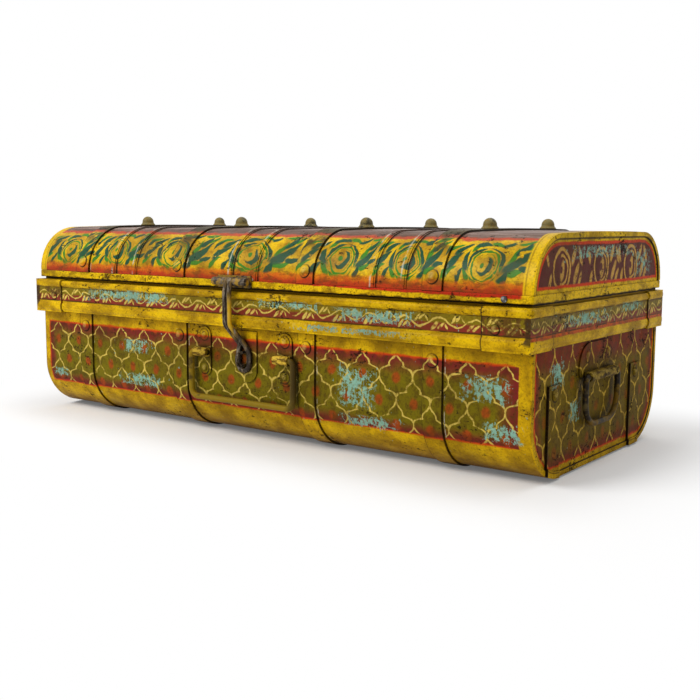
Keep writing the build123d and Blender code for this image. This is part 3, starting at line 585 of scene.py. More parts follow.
def vine(paint, along, up):
    """Cover of the vine and its leaf strokes on the band's flat."""
    along = along + paint.sway(24.0, 5.5, 89.0) + 400.0
    up = up - VINE_MIDDLE + paint.sway(9.0, 2.0, 91.0)
    wave = paint.math("SINE", along * (2 * math.pi / VINE_PERIOD)) * -VINE_SWING
    stroke = paint.noise(10.0, 3.0, seed=93.0) * 2.0 - 0.15
    stem = paint.below(abs(up - wave) - stroke, 0.0, 0.4)
    place = paint.math("FLOORED_MODULO", along, VINE_PERIOD)
    for stroke in LEAF_STROKES:
        stem = paint.most(stem, ellipse(paint, place, up, *stroke))
    return stem


# %% [markdown]
# The band goes round four corners, so the way along it is x on the long sides and y on the ends.
# A cap is riveted over each corner, and grime and painted shade mark where its sheet stops.

# %% Rim band paint
FLAT_LOW, FLAT_HIGH = 141.0, 158.0      # the band's flat, between its beads
TWO_TONES_MEET = 149.0                  # olive above, maroon below
CAP_EDGE, CAP_END_EDGE = 299.0, 121.0   # where the corner caps stop, in x and in y
CAP_RIVETS = ((-313.0, 146.5), (313.0, 146.5))
BAND_OLIVE, BAND_MAROON = enamel(122, 104, 14), enamel(128, 44, 32)
END_ORANGE = enamel(196, 84, 18)
CAP_SOIL = enamel(84, 54, 20)
LEDGE_SHADE = enamel(60, 40, 6)
CORNER_BROWN = enamel(56, 38, 20)
BAND_CHIPS = (
    (-175.0, 153.0, 95.0, 9.0),
    (70.0, 156.0, 60.0, 6.0),
    (178.0, 150.0, 62.0, 9.0),
    (150.0, 134.0, 90.0, 4.0),
)
BAND_END_CHIPS = ((-40.0, 150.0, 75.0, 8.0), (75.0, 155.0, 40.0, 7.0))


def paint_band(name):
    paint = Paint(name)
    on_end = paint.above(abs(paint.nx), 0.7, 0.05)
    along = paint.x + (paint.y - paint.x) * on_end
    mottle = paint.noise(20.0, 5.0, (1.8, 1.8, 1.0), seed=97.0, rough=0.65)
    yellow = paint.blend(MUSTARD, BROWN_YELLOW, paint.above(mottle, 0.53, 0.1) * 0.7)
    yellow = paint.blend(yellow, BRIGHT_YELLOW, paint.below(mottle, 0.44, 0.06) * 0.8)
    low = paint.below(paint.z + paint.sway(15.0, 1.5, 101.0), TWO_TONES_MEET, 1.4)
    flat = paint.blend(BAND_OLIVE, BAND_MAROON, low)
    flat = paint.blend(flat, END_ORANGE, on_end * paint.below(paint.z, 142.0, 1.5))
    leaf = vine(paint, along, paint.z) * paint.below(paint.noise(13.0, 4.0, seed=103.0), 0.6, 0.06)
    flat = paint.blend(flat, CREAM, leaf)
    flat_low = FLAT_LOW - on_end * 3.5
    on_flat = paint.between(paint.z + paint.sway(14.0, 0.9, 107.0), flat_low, FLAT_HIGH, 0.6)
    on_cap = paint.above(abs(paint.x), CAP_EDGE, 0.5) * (1.0 - on_end)
    soiled = paint.above(paint.noise(8.0, 5.0, seed=111.0, rough=0.7), 0.5, 0.06)
    flat = paint.blend(flat, CAP_SOIL, soiled * paint.most(on_cap * 0.85, on_end * 0.6))
    colour = paint.blend(yellow, flat, on_flat)
    front = paint.below(paint.y, 0.0, 1.0) * (1.0 - on_end)
    chips = patch(paint, paint.x, paint.z, BAND_CHIPS)
    end_chips = patch(paint, paint.y, paint.z, BAND_END_CHIPS)
    colour, bare = chipped(paint, colour, paint.most(chips * front, end_chips * on_end))
    # grime and painted shade: a dark line where each corner cap's sheet stops
    cap_edge = abs(abs(paint.x) - CAP_EDGE) + on_end * 200.0
    end_cap_edge = abs(abs(paint.y) - CAP_END_EDGE) + (1.0 - on_end) * 200.0
    edge = paint.below(paint.least(cap_edge, end_cap_edge), 0.9, 0.5)
    colour = paint.blend(colour, GRIME_AND_SHADE, edge * 0.95)
    # painted shade: broken dark lines under the top bead and above the bottom bead
    low_ledge_shade = paint.below(abs(paint.z - 141.2), 0.7, 0.6)
    ledge_shade = paint.most(low_ledge_shade, paint.below(abs(paint.z - FLAT_HIGH), 0.5, 0.5))
    shade_kept = paint.above(paint.noise(18.0, 3.0, seed=109.0), 0.42, 0.12)
    colour = paint.blend(colour, LEDGE_SHADE, ledge_shade * shade_kept)
    corner = paint.above(abs(paint.x) + paint.sway(9.0, 3.5, 112.0), 342.5, 1.2) * (1.0 - on_end)
    corner = corner * paint.between(paint.z + paint.sway(12.0, 4.0, 114.0), 135.0, 158.5, 1.5)
    colour = paint.blend(colour, CORNER_BROWN, corner * 0.9)
    colour = rivet_shade_and_highlight(paint, colour, paint.x, paint.z, CAP_RIVETS, 4.8)
    colour, flaked = aged(paint, colour, 0.55, 6.0)
    brush = paint.noise(4.0, 4.0, (3.0, 3.0, 1.0), seed=127.0)
    rough = 0.34 + mottle * 0.25 + flaked * 0.2 + bare * 0.2
    height = brush * 0.15 + paint.noise(30.0, 2.0, seed=131.0) * 0.5 - flaked * 0.15 - bare * 0.1
    return paint.finish(colour, rough, height, 1.4)


band_paint = paint_band("band enamel")
caps = [f"corner_cap_{depth}_{side}" for depth in ("front", "back") for side in ("left", "right")]
dress(band_paint, "rim_band", *caps)
print("vine strokes a period", len(LEAF_STROKES), "in", VINE_PERIOD, "mm")

# %% [markdown]
# ## The lid: leaf scrolls
# The lid's shoulder is bright yellow with round scrolls in two greens and leaves between them. The
# leaves could be spokes round each ring, but then every scroll looks like a wheel. So each leaf is
# one brush stroke with a place, a turn, a length, a width and a bend. The table of strokes is
# repeated at every ring, and a slow sway pushes each copy about so that no two are quite alike.

# %% Leaf scrolls
SCROLL_SPACING = 98.0
SCROLL_HEIGHT = 27.0        # along the sheet above the lid's edge strip
SCROLL_PLACES = (-292.0, -205.0, -108.0, 10.0, 131.0, 210.0, 294.0)
LID_HALF = 345.0
ARC_GIRTH = ((0, 0), (0.08, 0.3), (0.28, 0.72), (0.55, 0.5), (0.85, 0.12), (0.95, 0), (1, 0))
SCROLL_LEAVES = (
    (True, (35.0, 3.0, 43.0, 17.0, 3.1, 0.010)),
    (False, (29.0, 9.0, 66.0, 9.0, 1.9, 0.016)),
    (True, (37.0, 17.0, 58.0, 9.0, 2.1, 0.016)),
    (False, (45.0, 22.0, 44.0, 8.0, 1.8, 0.014)),
    (False, (33.0, -8.0, 16.0, 9.0, 1.9, 0.020)),
    (True, (44.0, -3.0, 14.0, 8.0, 1.8, 0.020)),
    (True, (-24.5, 3.0, 98.0, 10.0, 2.4, -0.030)),
    (False, (-21.0, -10.0, 134.0, 7.0, 1.9, -0.020)),
    (True, (-31.0, 17.0, 36.0, 10.0, 2.3, -0.016)),
    (True, (-38.0, 4.0, 48.0, 11.0, 2.6, -0.012)),
    (False, (-43.0, -8.0, 40.0, 9.0, 2.0, -0.014)),
    (False, (-40.0, 20.0, 24.0, 8.0, 1.7, -0.014)),
    (True, (-8.0, 23.5, 6.0, 9.0, 2.1, -0.020)),
    (False, (9.0, 25.0, -12.0, 8.0, 1.8, -0.020)),
    (True, (22.0, 25.0, 30.0, 8.0, 1.9, 0.014)),
    (True, (22.0, -12.0, 60.0, 7.0, 2.2, 0.030)),
    (True, (-47.0, 12.0, 52.0, 8.0, 1.8, 0.014)),
    (False, (-15.0, 20.0, 44.0, 7.0, 1.6, -0.030)),
    (True, (-30.0, -10.0, 60.0, 7.0, 1.8, -0.020)),
    (False, (39.0, 27.0, 20.0, 9.0, 1.6, 0.014)),
)


def leaf(paint, across, up, middle_a, middle_u, degrees, length, width, bend):
    """Cover of a bent leaf stroke, fat at its root and thin at its tip."""
    turn = math.radians(degrees)
    side_a, side_u = across - middle_a, up - middle_u
    along = side_a * math.cos(turn) + side_u * math.sin(turn)
    side = side_u * math.cos(turn) - side_a * math.sin(turn) - along * along * bend
    girth = along * (-0.45 * width / length) + width
    return paint.below(paint.radius(along / length, side / girth), 1.0, 0.2)


# %% [markdown]
# The rings do not stand at even steps. A curve stretches the way along the lid so that even steps
# land on the places wanted, and one table of strokes then serves all seven rings.

# %% Scrolls along the lid
def leaf_scrolls(paint, along, up):
    """Cover of the dark leaves, the light leaves and the rings."""
    even = [((p + LID_HALF) / (2 * LID_HALF)) for p in SCROLL_PLACES]
    spread = [(SCROLL_SPACING * (i - 3) + LID_HALF) / (2 * LID_HALF) for i in range(7)]
    points = [(0.0, 0.0), *zip(even, spread), (1.0, 1.0)]
    warped = paint.curve((along + LID_HALF) / (2 * LID_HALF), points) * (2 * LID_HALF) - LID_HALF
    shifted = warped + SCROLL_SPACING * 10.5
    across = paint.math("FLOORED_MODULO", shifted, SCROLL_SPACING) - SCROLL_SPACING / 2
    across = across + paint.sway(19.0, 5.5, 137.0)
    rise = up - SCROLL_HEIGHT + paint.sway(21.0, 5.5, 139.0)
    reach = paint.radius(across, rise)
    angle = paint.math("ARCTAN2", rise, across) * (1 / (2 * math.pi))
    covers = {True: [], False: []}
    for is_dark, stroke in SCROLL_LEAVES:
        *place, length, width, bend = stroke
        here = leaf(paint, across, rise, *place, length * 1.1, width * 1.4, bend)
        covers[is_dark].append(here)
    part = angle * 3.0 + 0.2
    arc_girth = paint.curve(part - paint.math("FLOOR", part), ARC_GIRTH) * 3.0
    arcs = paint.below(abs(reach - 18.5) - arc_girth, 0.0, 0.35)
    dark = paint.most(*covers[True], arcs * paint.above(rise, -2.0, 1.0))
    light = paint.most(*covers[False], arcs * paint.below(rise, -2.0, 1.0))
    ring = paint.below(abs(reach - 14.8) - paint.noise(12.0, 2.0, seed=145.0) * 2.6, -0.3, 0.4)
    thin_ring = paint.below(abs(reach - 11.8), 0.4, 0.35) * paint.above(across, 2.0, 4.0)
    bitten = paint.above(paint.radius(across + 4.0, rise - 2.5), 8.2, 0.7)
    crescent = paint.below(reach, 9.5, 0.7) * bitten
    heart = paint.below(paint.radius(across + 3.0, rise - 1.0), 2.6, 0.6)
    light = paint.most(light, ring, heart)
    return paint.most(dark, crescent), paint.most(light, thin_ring * 0.8)


# %% [markdown]
# The lid's paint is laid in zones up the sheet: a red band that fades through orange into yellow,
# the scrolls, a red line, and then the top, which was painted dark and has been rubbed by
# everything that ever stood on it; pale painted glints run along its rub streaks. As on the walls,
# heights are measured along the bent sheet.

# %% Lid paint
SHOULDER_Y = 104.5
SHOULDER_Z = 178.7
SHOULDER_RADIUS = 54.0
LID_EDGE = 178.0
LID_CENTRE = 150.0          # height on the trunk's axis that the lid's outer faces turn from
TOP_STARTS = 62.5           # along the sheet, where the dark top begins
LID_SHADE = enamel(176, 130, 4)
LID_ORANGE = enamel(204, 86, 16)
LID_RED = enamel(168, 36, 16)
LID_SMEAR = enamel(88, 50, 10)
LID_LINE = enamel(180, 58, 32)
TOP_BROWN, TOP_GLINT = enamel(82, 58, 46), enamel(186, 174, 168)
STRAP_OLIVE, STRAP_BROWN = enamel(74, 66, 34), enamel(38, 32, 18)
STRAP_WEAR = enamel(70, 58, 22)
RIB_GLINT = enamel(196, 200, 180)
LID_RIVET_UP = 13.0         # along the sheet
RIB_PLACES = [pair + side for pair in (-189.7, 0.0, 189.7) for side in (-18.0, 18.0)]


def up_the_lid(paint):
    out = paint.most(abs(paint.y) - SHOULDER_Y, 0.0)
    high = paint.most(paint.z - SHOULDER_Z, 0.0)
    turn = paint.math("ARCTAN2", high, out) * SHOULDER_RADIUS
    straight = paint.least(paint.z, SHOULDER_Z) - LID_EDGE
    over = paint.most(SHOULDER_Y - abs(paint.y), 0.0) * paint.above(paint.z, 215.0, 1.0)
    return straight + turn + over


def paint_lid(name, inner, strap):
    paint = Paint(name)
    up = up_the_lid(paint)
    drawn = up + paint.sway(30.0, 2.5, 149.0)
    mottle = paint.noise(24.0, 5.0, seed=151.0, rough=0.62)
    yellow = paint.blend(MUSTARD, LID_SHADE, paint.above(mottle, 0.5, 0.1) * 0.75)
    yellow = paint.blend(yellow, BRIGHT_YELLOW, paint.below(mottle, 0.44, 0.06) * 0.8)
    yellow = paint.blend(yellow, BROWN_YELLOW, paint.above(mottle, 0.62, 0.06) * 0.8)
    dark, light = leaf_scrolls(paint, paint.x, up)
    worn = paint.below(paint.noise(11.0, 4.0, seed=157.0), 0.67, 0.02)
    colour = paint.blend(yellow, LEAF_GREEN, light * worn)
    colour = paint.blend(colour, DARK_GREEN, dark * worn)
    streaky = drawn + paint.sway(11.0, 5.0, 153.0)
    colour = paint.blend(colour, LID_ORANGE, paint.below(streaky, 10.5, 2.4) * 0.8)
    colour = paint.blend(colour, LID_RED, paint.below(streaky, 5.5, 3.0) * 0.85)
    smear = paint.noise(7.0, 5.0, (2.4, 1.0, 1.0), seed=155.0, rough=0.7)
    smear = paint.above(smear, 0.54, 0.07) * paint.below(streaky, 14.0, 4.0)
    colour = paint.blend(colour, LID_SMEAR, smear * 0.6)
    colour = paint.blend(colour, LID_LINE, paint.above(streaky, 57.0, 1.5) * 0.95)
    rub_and_glint = paint.noise(16.0, 5.0, (8.0, 1.0, 1.0), seed=163.0, rough=0.7)
    top = paint.blend(MAUVE, TOP_BROWN, paint.above(rub_and_glint, 0.48, 0.12))
    # painted highlight: pale glints along the top's rub streaks
    top = paint.blend(top, TOP_GLINT, paint.below(rub_and_glint, 0.4, 0.06) * 0.6)
    if strap:
        top = paint.blend(STRAP_OLIVE, STRAP_BROWN, paint.above(rub_and_glint, 0.5, 0.12))
    colour = paint.blend(colour, top, paint.above(streaky, TOP_STARTS, 2.5))
    if strap:
        edge_wear = paint.below(paint.noise(20.0, 4.0, seed=167.0), 0.5, 0.1)
        colour = paint.blend(colour, STRAP_WEAR, paint.above(drawn, 40.0, 8.0) * edge_wear)
    # painted highlight just left of each pressed rib, and painted shade in a dark line to its right
    rib = paint.least(*(abs(paint.x - (place + 6.0)) for place in RIB_PLACES))
    rib_light = paint.least(*(abs(paint.x - (place - 1.0)) for place in RIB_PLACES))
    broken = paint.noise(22.0, 3.0, seed=173.0)
    rib_highlight = paint.below(rib_light + paint.sway(8.0, 1.2, 175.0), 0.7, 0.9)
    rib_highlight = rib_highlight * paint.above(broken, 0.5, 0.06)
    colour = paint.blend(colour, RIB_GLINT, rib_highlight * 0.7)
    rib_shade = paint.below(rib, 1.2, 0.9) * paint.above(broken, 0.42, 0.1)
    colour = paint.blend(colour, GRIME_AND_SHADE, rib_shade * 0.85)
    colour = strap_edges(paint, colour)
    if strap:
        rivets = [(place, LID_RIVET_UP) for place in STRAP_PLACES]
        colour = rivet_shade_and_highlight(paint, colour, paint.x, up, rivets)
    seam_edge = abs(abs(paint.x) - 338.5)
    colour = paint.blend(colour, BRIGHT_YELLOW, paint.above(abs(paint.x), 336.0, 1.0) * 0.9)
    colour = paint.blend(colour, BROWN_YELLOW, paint.below(seam_edge, 0.8, 0.5) * 0.6)
    colour, flaked = aged(paint, colour, 0.45)
    if inner:
        colour = bare_inside(paint, colour, LID_CENTRE)
    rough = 0.26 + mottle * 0.25 + flaked * 0.2 + paint.above(drawn, 60.0, 3.0) * 0.08
    height = (
        paint.noise(5.0, 4.0, (3.0, 1.0, 1.0), seed=179.0) * 0.14
        + paint.noise(48.0, 2.0, seed=181.0) * 0.9
        - flaked * 0.12
        + light * 0.04
        + dark * 0.04
    )
    return paint.finish(colour, rough, height, 1.6, shine=0.1)


lid_paint = paint_lid("lid enamel", inner=True, strap=False)
lid_strap_paint = paint_lid("lid strap enamel", inner=False, strap=True)
dress(lid_paint, "lid_wrap")
dress(lid_strap_paint, *(f"lid_strap_{number}" for number in range(1, 5)))
print("lid paint has", len(lid_paint.node_tree.nodes), "nodes")

# %% [markdown]
# ## The lid's ends
# Each end of the lid is a flat sheet with a folded seam round it. The seam and a border are
# yellow, a red line runs inside, and the maroon middle has three tan scrolls with leaf drops round
# them. A scroll is two rings, each where the distance from its middle is near one value, and a
# drop is a turned ellipse, as on the rim band.

# %% Lid end paint
SCROLL_TAN = enamel(198, 150, 66)
LID_END_MAROON, LID_END_SHADE = enamel(104, 36, 34), enamel(62, 24, 18)
LID_END_CHIPS = ((0.0, 214.0, 110.0, 9.0), (105.0, 200.0, 30.0, 20.0))
SCROLL_LINE = 199.0         # height of the scrolls' middles
FOLD = 5.2                  # width of the folded seam
END_SCROLLS = (-98.9, -6.7, 71.2)
END_LEAVES = (
    (26.0, 11.0, 60.0, 9.0, 3.2),
    (32.0, -4.0, 58.0, 10.5, 3.6),
    (41.0, 10.0, 122.0, 9.0, 2.8),
    (40.0, -10.0, 60.0, 7.5, 2.8),
    (-25.0, -11.0, 72.0, 8.0, 2.8),
    (-31.0, 10.0, 112.0, 7.5, 2.6),
)


def paint_lid_end(name):
    paint = Paint(name)
    out = paint.most(abs(paint.y) - SHOULDER_Y, 0.0)
    high = paint.most(paint.z - SHOULDER_Z, 0.0)
    inside = paint.least(SHOULDER_RADIUS - paint.radius(out, high) - 9.5, paint.z - 183.0)
    inside = inside + paint.sway(18.0, 1.2, 191.0)
    mottle = paint.noise(20.0, 5.0, seed=193.0, rough=0.65)
    yellow = paint.blend(BRIGHT_YELLOW, BROWN_YELLOW, paint.above(mottle, 0.54, 0.1) * 0.7)
    field = paint.blend(LID_END_MAROON, LID_END_SHADE, mottle)
    scrolls = []
    for middle in END_SCROLLS:
        across = paint.y - middle + paint.sway(15.0, 3.0, 197.0)
        rise = (paint.z - SCROLL_LINE) * 0.9 + paint.sway(15.0, 2.0, 199.0)
        reach = paint.radius(across, rise)
        rings = paint.most(
            paint.below(abs(reach - 17.5), 1.5, 0.5),
            paint.below(abs(reach - 12.5), 1.1, 0.5) * paint.above(across, -3.0, 2.0),
        )
        kernel = ellipse(paint, across, rise, 1.0, -1.0, 80.0, 9.0, 4.6)
        rings = paint.most(rings, kernel * paint.above(paint.radius(across + 1.5, rise), 3.4, 0.6))
        drops = [ellipse(paint, across, rise, *stroke) for stroke in END_LEAVES]
        scrolls.append(paint.most(rings, *drops))
    drawn = paint.most(*scrolls) * paint.below(paint.noise(9.0, 4.0, seed=207.0), 0.64, 0.05)
    field = paint.blend(field, SCROLL_TAN, drawn)
    colour = paint.blend(yellow, field, paint.above(inside, 0.0, 0.6))
    colour = paint.blend(colour, ORANGE_RED, paint.below(abs(inside), 1.5, 0.8))
    fold_line = SHOULDER_RADIUS - paint.radius(out, high)
    colour = paint.blend(colour, GRIME_AND_SHADE, paint.below(abs(fold_line - FOLD), 0.9, 0.5) * 0.85)
    chips = patch(paint, paint.y, paint.z, LID_END_CHIPS)
    colour, _ = chipped(paint, colour, chips * 0.8)
    colour, flaked = aged(paint, colour, 0.8)
    colour = bare_inside(paint, colour, LID_CENTRE)
    rough = 0.3 + mottle * 0.28 + flaked * 0.2
    height = paint.noise(5.0, 4.0, seed=211.0) * 0.12 + paint.noise(40.0, 2.0, seed=213.0) * 0.8
    return paint.finish(colour, rough, height - flaked * 0.12, 1.5, shine=0.04)


dress(paint_lid_end("lid end enamel"), "lid_end_left", "lid_end_right")
print("scrolls on each lid end:", len(END_SCROLLS))


# %% [markdown]
# ## The lid's edge strip
# The strip round the bottom of the lid takes every knock. It is yellow, worn to dark iron along
# its lower edge and speckled all over.

# %% Edge strip paint
STRIP_RED = enamel(184, 40, 18)
KNOCKED_IRON = enamel(60, 40, 8)
KNOCKED_BELOW = 170.9


def paint_strip(name):
    paint = Paint(name)
    mottle = paint.noise(12.0, 5.0, (2.2, 2.2, 1.0), seed=217.0, rough=0.7)
    colour = paint.blend(BRIGHT_YELLOW, BROWN_YELLOW, paint.above(mottle, 0.55, 0.08) * 0.8)
    red_edge = 178.6 - 4.0 * paint.above(paint.x, 120.0, 200.0)
    on_front = paint.below(paint.y, -140.0, 2.0) * paint.below(abs(paint.x), 336.0, 2.0)
    red = paint.above(paint.z + paint.sway(16.0, 1.4, 221.0), red_edge, 0.7) * on_front
    colour = paint.blend(colour, STRIP_RED, red)
    knocked = paint.below(paint.z + paint.sway(9.0, 2.6, 219.0), KNOCKED_BELOW, 0.7)
    colour = paint.blend(colour, KNOCKED_IRON, knocked * 0.85)
    colour, flaked = aged(paint, colour, 0.8, 5.0)
    height = paint.noise(4.0, 4.0, (2.0, 2.0, 1.0), seed=223.0) * 0.3 - flaked * 0.2
    return paint.finish(colour, 0.36 + mottle * 0.25 + flaked * 0.2, height, 1.0)


dress(paint_strip("edge strip enamel"), "lid_flange")
print("edge strip painted")

# %% [markdown]
# ## The body's ends
# The ends carry the same trellis in darker colours, with fewer dots, more specks and a wider
# reach of painted shade in their corners. The frame follows the sheet's rounded lower corners.

# %% Body end paint
END_FIRST_ROW = 121.0
END_ROW_HEIGHT = 31.0
END_LOOK = (enamel(104, 84, 2), enamel(116, 42, 24), enamel(206, 168, 62), 0.4)
END_CHIPS = ((-100.0, 20.0, 20.0, 16.0), (-60.0, 60.0, 18.0, 14.0))
END_RIVETS = ((-108.2, 83.0), (92.2, 83.0), (-34.0, 112.0), (18.0, 112.0))
END_BARREL_LIGHT, END_BARREL_DARK = enamel(164, 138, 52), enamel(60, 48, 12)


def paint_body_end(name, inner):
    paint = Paint(name)
    out = paint.most(abs(paint.y) - BEND_CENTRE_Y, 0.0)
    low = paint.most(BEND_CENTRE_Z - paint.z, 0.0)
    rim = BEND_RADIUS - paint.radius(out, low)
    inside = paint.least(rim - 8.5, paint.z - 13.5) + paint.sway(16.0, 0.8, 227.0)
    mottle = paint.noise(26.0, 5.0, seed=229.0, rough=0.65)
    yellow = paint.blend(MUSTARD, BROWN_YELLOW, paint.above(mottle, 0.52, 0.12) * 0.7)
    down = END_FIRST_ROW - paint.z
    colour = trellis_field(paint, yellow, inside, paint.y - 13.0, down, END_LOOK, END_ROW_HEIGHT)
    chips = patch(paint, paint.y, down, END_CHIPS)
    colour, bare = chipped(paint, colour, chips)
    colour = paint.blend(colour, GRIME_AND_SHADE, paint.below(abs(rim - FOLD), 0.5, 0.5) * 0.7)
    # painted shadow: a dark line down one edge of each end strap, below the handle
    strap = paint.least(abs(paint.y + 121.6), abs(paint.y - 78.8))
    strap_shadow_line = paint.below(strap, 1.3, 0.6) * paint.below(paint.z, 93.0, 1.0)
    colour = paint.blend(colour, GRIME_AND_SHADE, strap_shadow_line)
    if not inner:
        colour = rivet_shade_and_highlight(paint, colour, paint.y, paint.z, END_RIVETS)
        # the end plates' barrels: streaks of light and dark, the light ones partly painted
        # highlight
        plate = paint.above(abs(paint.x), 347.6, 0.4) * paint.between(paint.z, 84.0, 104.0, 1.0)
        streak = paint.noise(5.0, 4.0, (1.0, 2.4, 0.8), seed=237.0, rough=0.65)
        barrel = paint.blend(END_BARREL_LIGHT, END_BARREL_DARK, paint.above(streak, 0.5, 0.08))
        colour = paint.blend(colour, barrel, plate * 0.9)
    colour, flaked = aged(paint, colour, 0.9, 9.0)
    if inner:
        colour = bare_inside(paint, colour)
    rough = 0.4 + mottle * 0.28 + flaked * 0.15
    height = paint.noise(5.0, 4.0, seed=233.0) * 0.14 + paint.noise(45.0, 2.0, seed=235.0) * 0.9
    return paint.finish(colour, rough, height - flaked * 0.12 - bare * 0.08, 1.6, shine=0.04)


dress(paint_body_end("end enamel", inner=True), "end_panel_left", "end_panel_right")
end_iron_paint = paint_body_end("end strap enamel", inner=False)
dress(
    end_iron_paint,
    *(f"end_strap_{depth}_{side}" for depth in ("front", "back") for side in ("left", "right")),
    "end_handle_plate_left",
    "end_handle_plate_right",
)
print("end panels painted")

# %% [markdown]
# ## Iron
# The bails, the hasp and the staple are forged iron that was painted over with the rest. Paint
# holds in the hollows and is gone where hands and iron rub, so the enamel is a patchy layer over
# metal, and the metal under it is dark, uneven and a little shiny.

# %% Iron
def paint_iron(name, coat, coat_share, tones, size=9.0, seed=240.0, marks=(), grain=1.0, gleam=0.4):
    """Iron in two tones under a patchy coat. Each mark is a colour and a box of x and z."""
    dark, light = tones
    paint = Paint(name)
    scale = paint.noise(size * 0.5, 5.0, (1.0, 1.0, grain), seed=seed, rough=0.65)
    metal = paint.blend(dark, light, paint.above(scale, 0.55, 0.09) * 0.8)
    hold = paint.noise(size * 1.6, 4.0, (1.0, 1.0, grain), seed=seed + 3.0, rough=0.6)
    painted = paint.below(hold, coat_share, 0.05)
    tint = paint.blend(coat, BROWN_YELLOW, paint.above(scale, 0.5, 0.12) * 0.4)
    colour = paint.blend(metal, tint, painted)
    for mark, box in marks:
        colour = paint.blend(colour, mark, patch(paint, paint.x, paint.z, (box,)) * 0.85)
    # painted shade, with grime: an occlusion node darkens the iron's corners and the gaps where it
    # meets other parts
    corner = paint.crevice(4.0)
    colour = paint.blend(colour, GRIME_AND_SHADE, paint.above(corner, 0.55, 0.25) * 0.8)
    rough = 0.36 + scale * 0.24 + painted * 0.06
    height = scale * 0.5 + painted * 0.18
    metal_share = (1.0 - painted) * gleam
    return paint.finish(colour, rough, height, 0.5, metal_share, shine=0.12 + gleam * 0.4)


PLAIN_IRON = (DARK_IRON, WORN_IRON)
LEG_SHADE = enamel(40, 29, 12)
# the front bail's one mark is painted shade down its right leg
bail_paint = paint_iron(
    "front bail iron", enamel(126, 104, 12), 0.62, (enamel(66, 50, 10), enamel(118, 98, 30)), 22.0,
    marks=((LEG_SHADE, (80.0, 84.0, 14.0, 60.0)),), gleam=0.0,
)
end_bail_paint = paint_iron(
    "end bail iron", enamel(66, 50, 10), 0.52, (enamel(28, 20, 9), enamel(88, 74, 38)), 14.0, 244.0,
    gleam=0.0,
)
hasp_iron = paint_iron(
    "hasp iron", enamel(86, 66, 30), 0.44, (enamel(44, 34, 24), enamel(138, 126, 108)), 7.0,
    marks=((enamel(206, 162, 6), (-3.0, 140.0, 2.6, 24.0)),), grain=3.5,
)
brass_paint = paint_iron("barrel iron", enamel(150, 116, 30), 0.5, PLAIN_IRON, seed=250.0)
stud_iron = paint_iron(
    "stud iron", enamel(112, 102, 56), 0.56, (enamel(54, 48, 30), enamel(132, 122, 80)), 7.0, 260.0
)
rivet_iron = paint_iron("rivet iron", enamel(126, 92, 22), 0.6, PLAIN_IRON, 6.0, 270.0)
nail_iron = paint_iron(
    "nail iron", enamel(120, 116, 112), 0.2, (enamel(60, 58, 58), enamel(170, 168, 166))
)

# %% [markdown]
# ## The neck
# The neck stands up inside the mouth as near-black sheet: bare metal, darkened further as painted
# shade of the gap under the lid. A little of the rim's yellow runs on to its outer side, which
# softens the dark gap under the lid.

# %% Neck
YELLOW_RUN = enamel(150, 114, 6)
RUN_HEIGHT = 168.2


def paint_neck(name):
    """Near-black sheet, bare metal with painted shade of the gap, and the rim's yellow run a little
    way up its outer side.
    """
    paint = Paint(name)
    stain = paint.noise(12.0, 4.0, seed=283.0)
    # painted shade: the neck is near-black, darker than the bare insides, for the gap under the lid
    colour = paint.blend(enamel(22, 16, 9), enamel(40, 30, 16), stain)
    run = paint.below(paint.z + paint.sway(14.0, 0.9, 285.0), RUN_HEIGHT, 0.4)
    run = run * paint.outside(BODY_CENTRE)
    colour = paint.blend(colour, YELLOW_RUN, run * 0.9)
    return paint.finish(colour, 0.5 + stain * 0.2, stain, 0.5)


dress(paint_neck("neck sheet"), "inner_neck")
print("neck painted")

# %% [markdown]
# ## Who wears what
# The loose iron has its own finishes. Rivets on painted straps were painted with them, so they
# take the strap's material, and the pattern runs on over their heads.

# %% Dress the ironwork
hinge_pieces = [name for name in nodes if name.startswith("hinge_")]
hinge_rivets = [name for name in hinge_pieces if name.endswith("rivets")]
hinge_leaves = [name for name in hinge_pieces if not name.endswith("rivets")]
IRONWORK = (
    (bail_paint, ["front_handle"]),
    (end_bail_paint, ["end_handle_left", "end_handle_right"]),
    (hasp_iron, ["hasp", "staple"]),
    (brass_paint, ["hasp_hinge", "hasp_pin", *hinge_leaves]),
    (stud_iron, ["lid_studs"]),
    (nail_iron, ["lid_nail"]),
    (rivet_iron, hinge_rivets),
)
for iron, names in IRONWORK:
    dress(iron, *names)
dress(strap_paint, "body_strap_rivets", "front_handle_rivets")
dress(lid_strap_paint, "lid_strap_rivets")
dress(band_paint, "corner_rivets")
dress(end_iron_paint, "end_strap_rivets", "end_handle_rivets")
print("iron pieces", sum(len(names) for iron, names in IRONWORK))

# %% [markdown]
# ## Floor and light
# The trunk stands on a pale floor under soft light. The floor is lit like anything else near the
# trunk, so its shadow shows; farther away it turns to plain white for the camera, and so does the
# world behind. The lamps stay at a level where a colour looks as it was mixed.

# %% Floor
SEEN_RAYS = ("Is Camera Ray", "Is Glossy Ray", "Is Transmission Ray")
SHADOW_REACH, SHADOW_FADE = 95.0, 110.0     # mm of floor round the trunk that show its shadow
FLOOR_GLOW = 0.12                           # share of plain white near the trunk


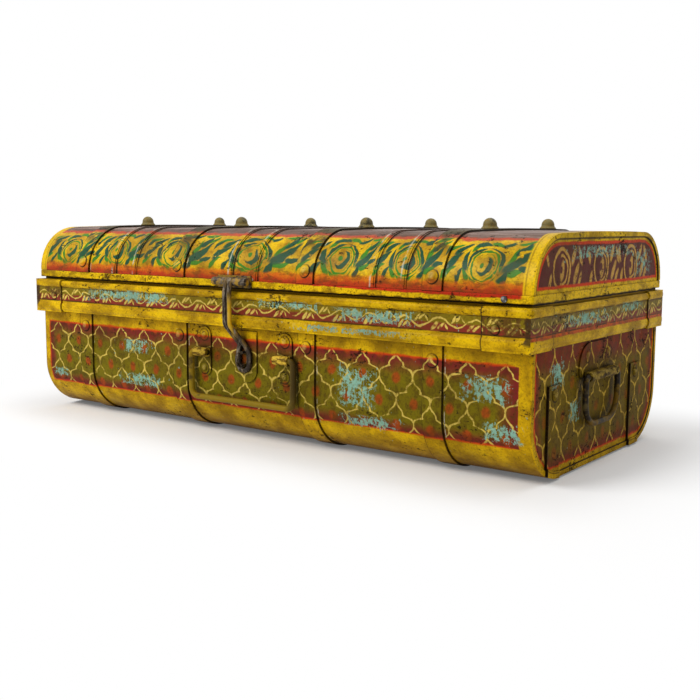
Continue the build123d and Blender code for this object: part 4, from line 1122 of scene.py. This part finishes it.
def make_floor():
    mesh = bpy.data.meshes.new("floor")
    sheet = bmesh.new()
    bmesh.ops.create_grid(sheet, x_segments=1, y_segments=1, size=6.0)
    sheet.to_mesh(mesh)
    sheet.free()
    floor = bpy.data.objects.new("floor", mesh)
    bpy.context.scene.collection.objects.link(floor)
    paint = Paint("floor")
    light_path = paint.tree.nodes.new("ShaderNodeLightPath")
    seen = [Flow(paint, light_path.outputs[ray]) for ray in SEEN_RAYS]
    gap = paint.most(abs(paint.x) - RIM_LENGTH / 2, abs(paint.y) - RIM_DEPTH / 2)
    far = paint.above(gap, SHADOW_REACH, SHADOW_FADE)
    white = paint.tree.nodes.new("ShaderNodeEmission")
    white.inputs["Color"].default_value = (1, 1, 1, 1)
    mix = paint.tree.nodes.new("ShaderNodeMixShader")
    paint.feed(mix.inputs[0], paint.most(far, FLOOR_GLOW) * paint.most(*seen))
    paint.shader.inputs["Base Color"].default_value = (0.93, 0.93, 0.93, 1)
    paint.shader.inputs["Roughness"].default_value = 0.9
    paint.shader.inputs["Specular IOR Level"].default_value = 0.1
    paint.tree.links.new(paint.shader.outputs[0], mix.inputs[1])
    paint.tree.links.new(white.outputs[0], mix.inputs[2])
    out = paint.tree.nodes["Material Output"]
    paint.tree.links.new(mix.outputs[0], out.inputs["Surface"])
    mesh.materials.append(paint.material)


make_floor()
print("floor laid")

# %% [markdown]
# The world gives even light from all sides and shows as white to the camera. A large key lamp in
# front on the left models the lid's shoulder, and a weaker one above keeps the top from going flat.

# %% World and lamps
AMBIENT = 0.48


def make_world():
    world = bpy.data.worlds.new("studio")
    bpy.context.scene.world = world
    world.use_nodes = True
    tree = world.node_tree
    background = tree.nodes["Background"]
    background.inputs["Color"].default_value = (1, 1, 1, 1)
    path = tree.nodes.new("ShaderNodeLightPath")
    seen = path.outputs[SEEN_RAYS[0]]
    for name in SEEN_RAYS[1:]:
        both = tree.nodes.new("ShaderNodeMath")
        both.operation = "MAXIMUM"
        tree.links.new(seen, both.inputs[0])
        tree.links.new(path.outputs[name], both.inputs[1])
        seen = both.outputs[0]
    level = tree.nodes.new("ShaderNodeMapRange")
    level.inputs["To Min"].default_value = AMBIENT
    level.inputs["To Max"].default_value = 1.0
    tree.links.new(seen, level.inputs["Value"])
    tree.links.new(level.outputs[0], background.inputs["Strength"])


def make_lamp(name, place, target, size, power):
    data = bpy.data.lights.new(name, "AREA")
    data.shape = "RECTANGLE"
    data.size, data.size_y = size
    data.energy = power
    lamp = bpy.data.objects.new(name, data)
    lamp.location = place
    lamp.rotation_euler = (Vector(target) - Vector(place)).to_track_quat("-Z", "Y").to_euler()
    bpy.context.scene.collection.objects.link(lamp)


make_world()
make_lamp("key", (-0.9, -1.7, 1.7), (0.0, 0.0, 0.1), (1.4, 1.0), 38.0)
make_lamp("top", (0.2, 0.3, 1.9), (0.0, 0.0, 0.2), (1.6, 1.0), 13.0)
print("lamps set, ambient", AMBIENT)
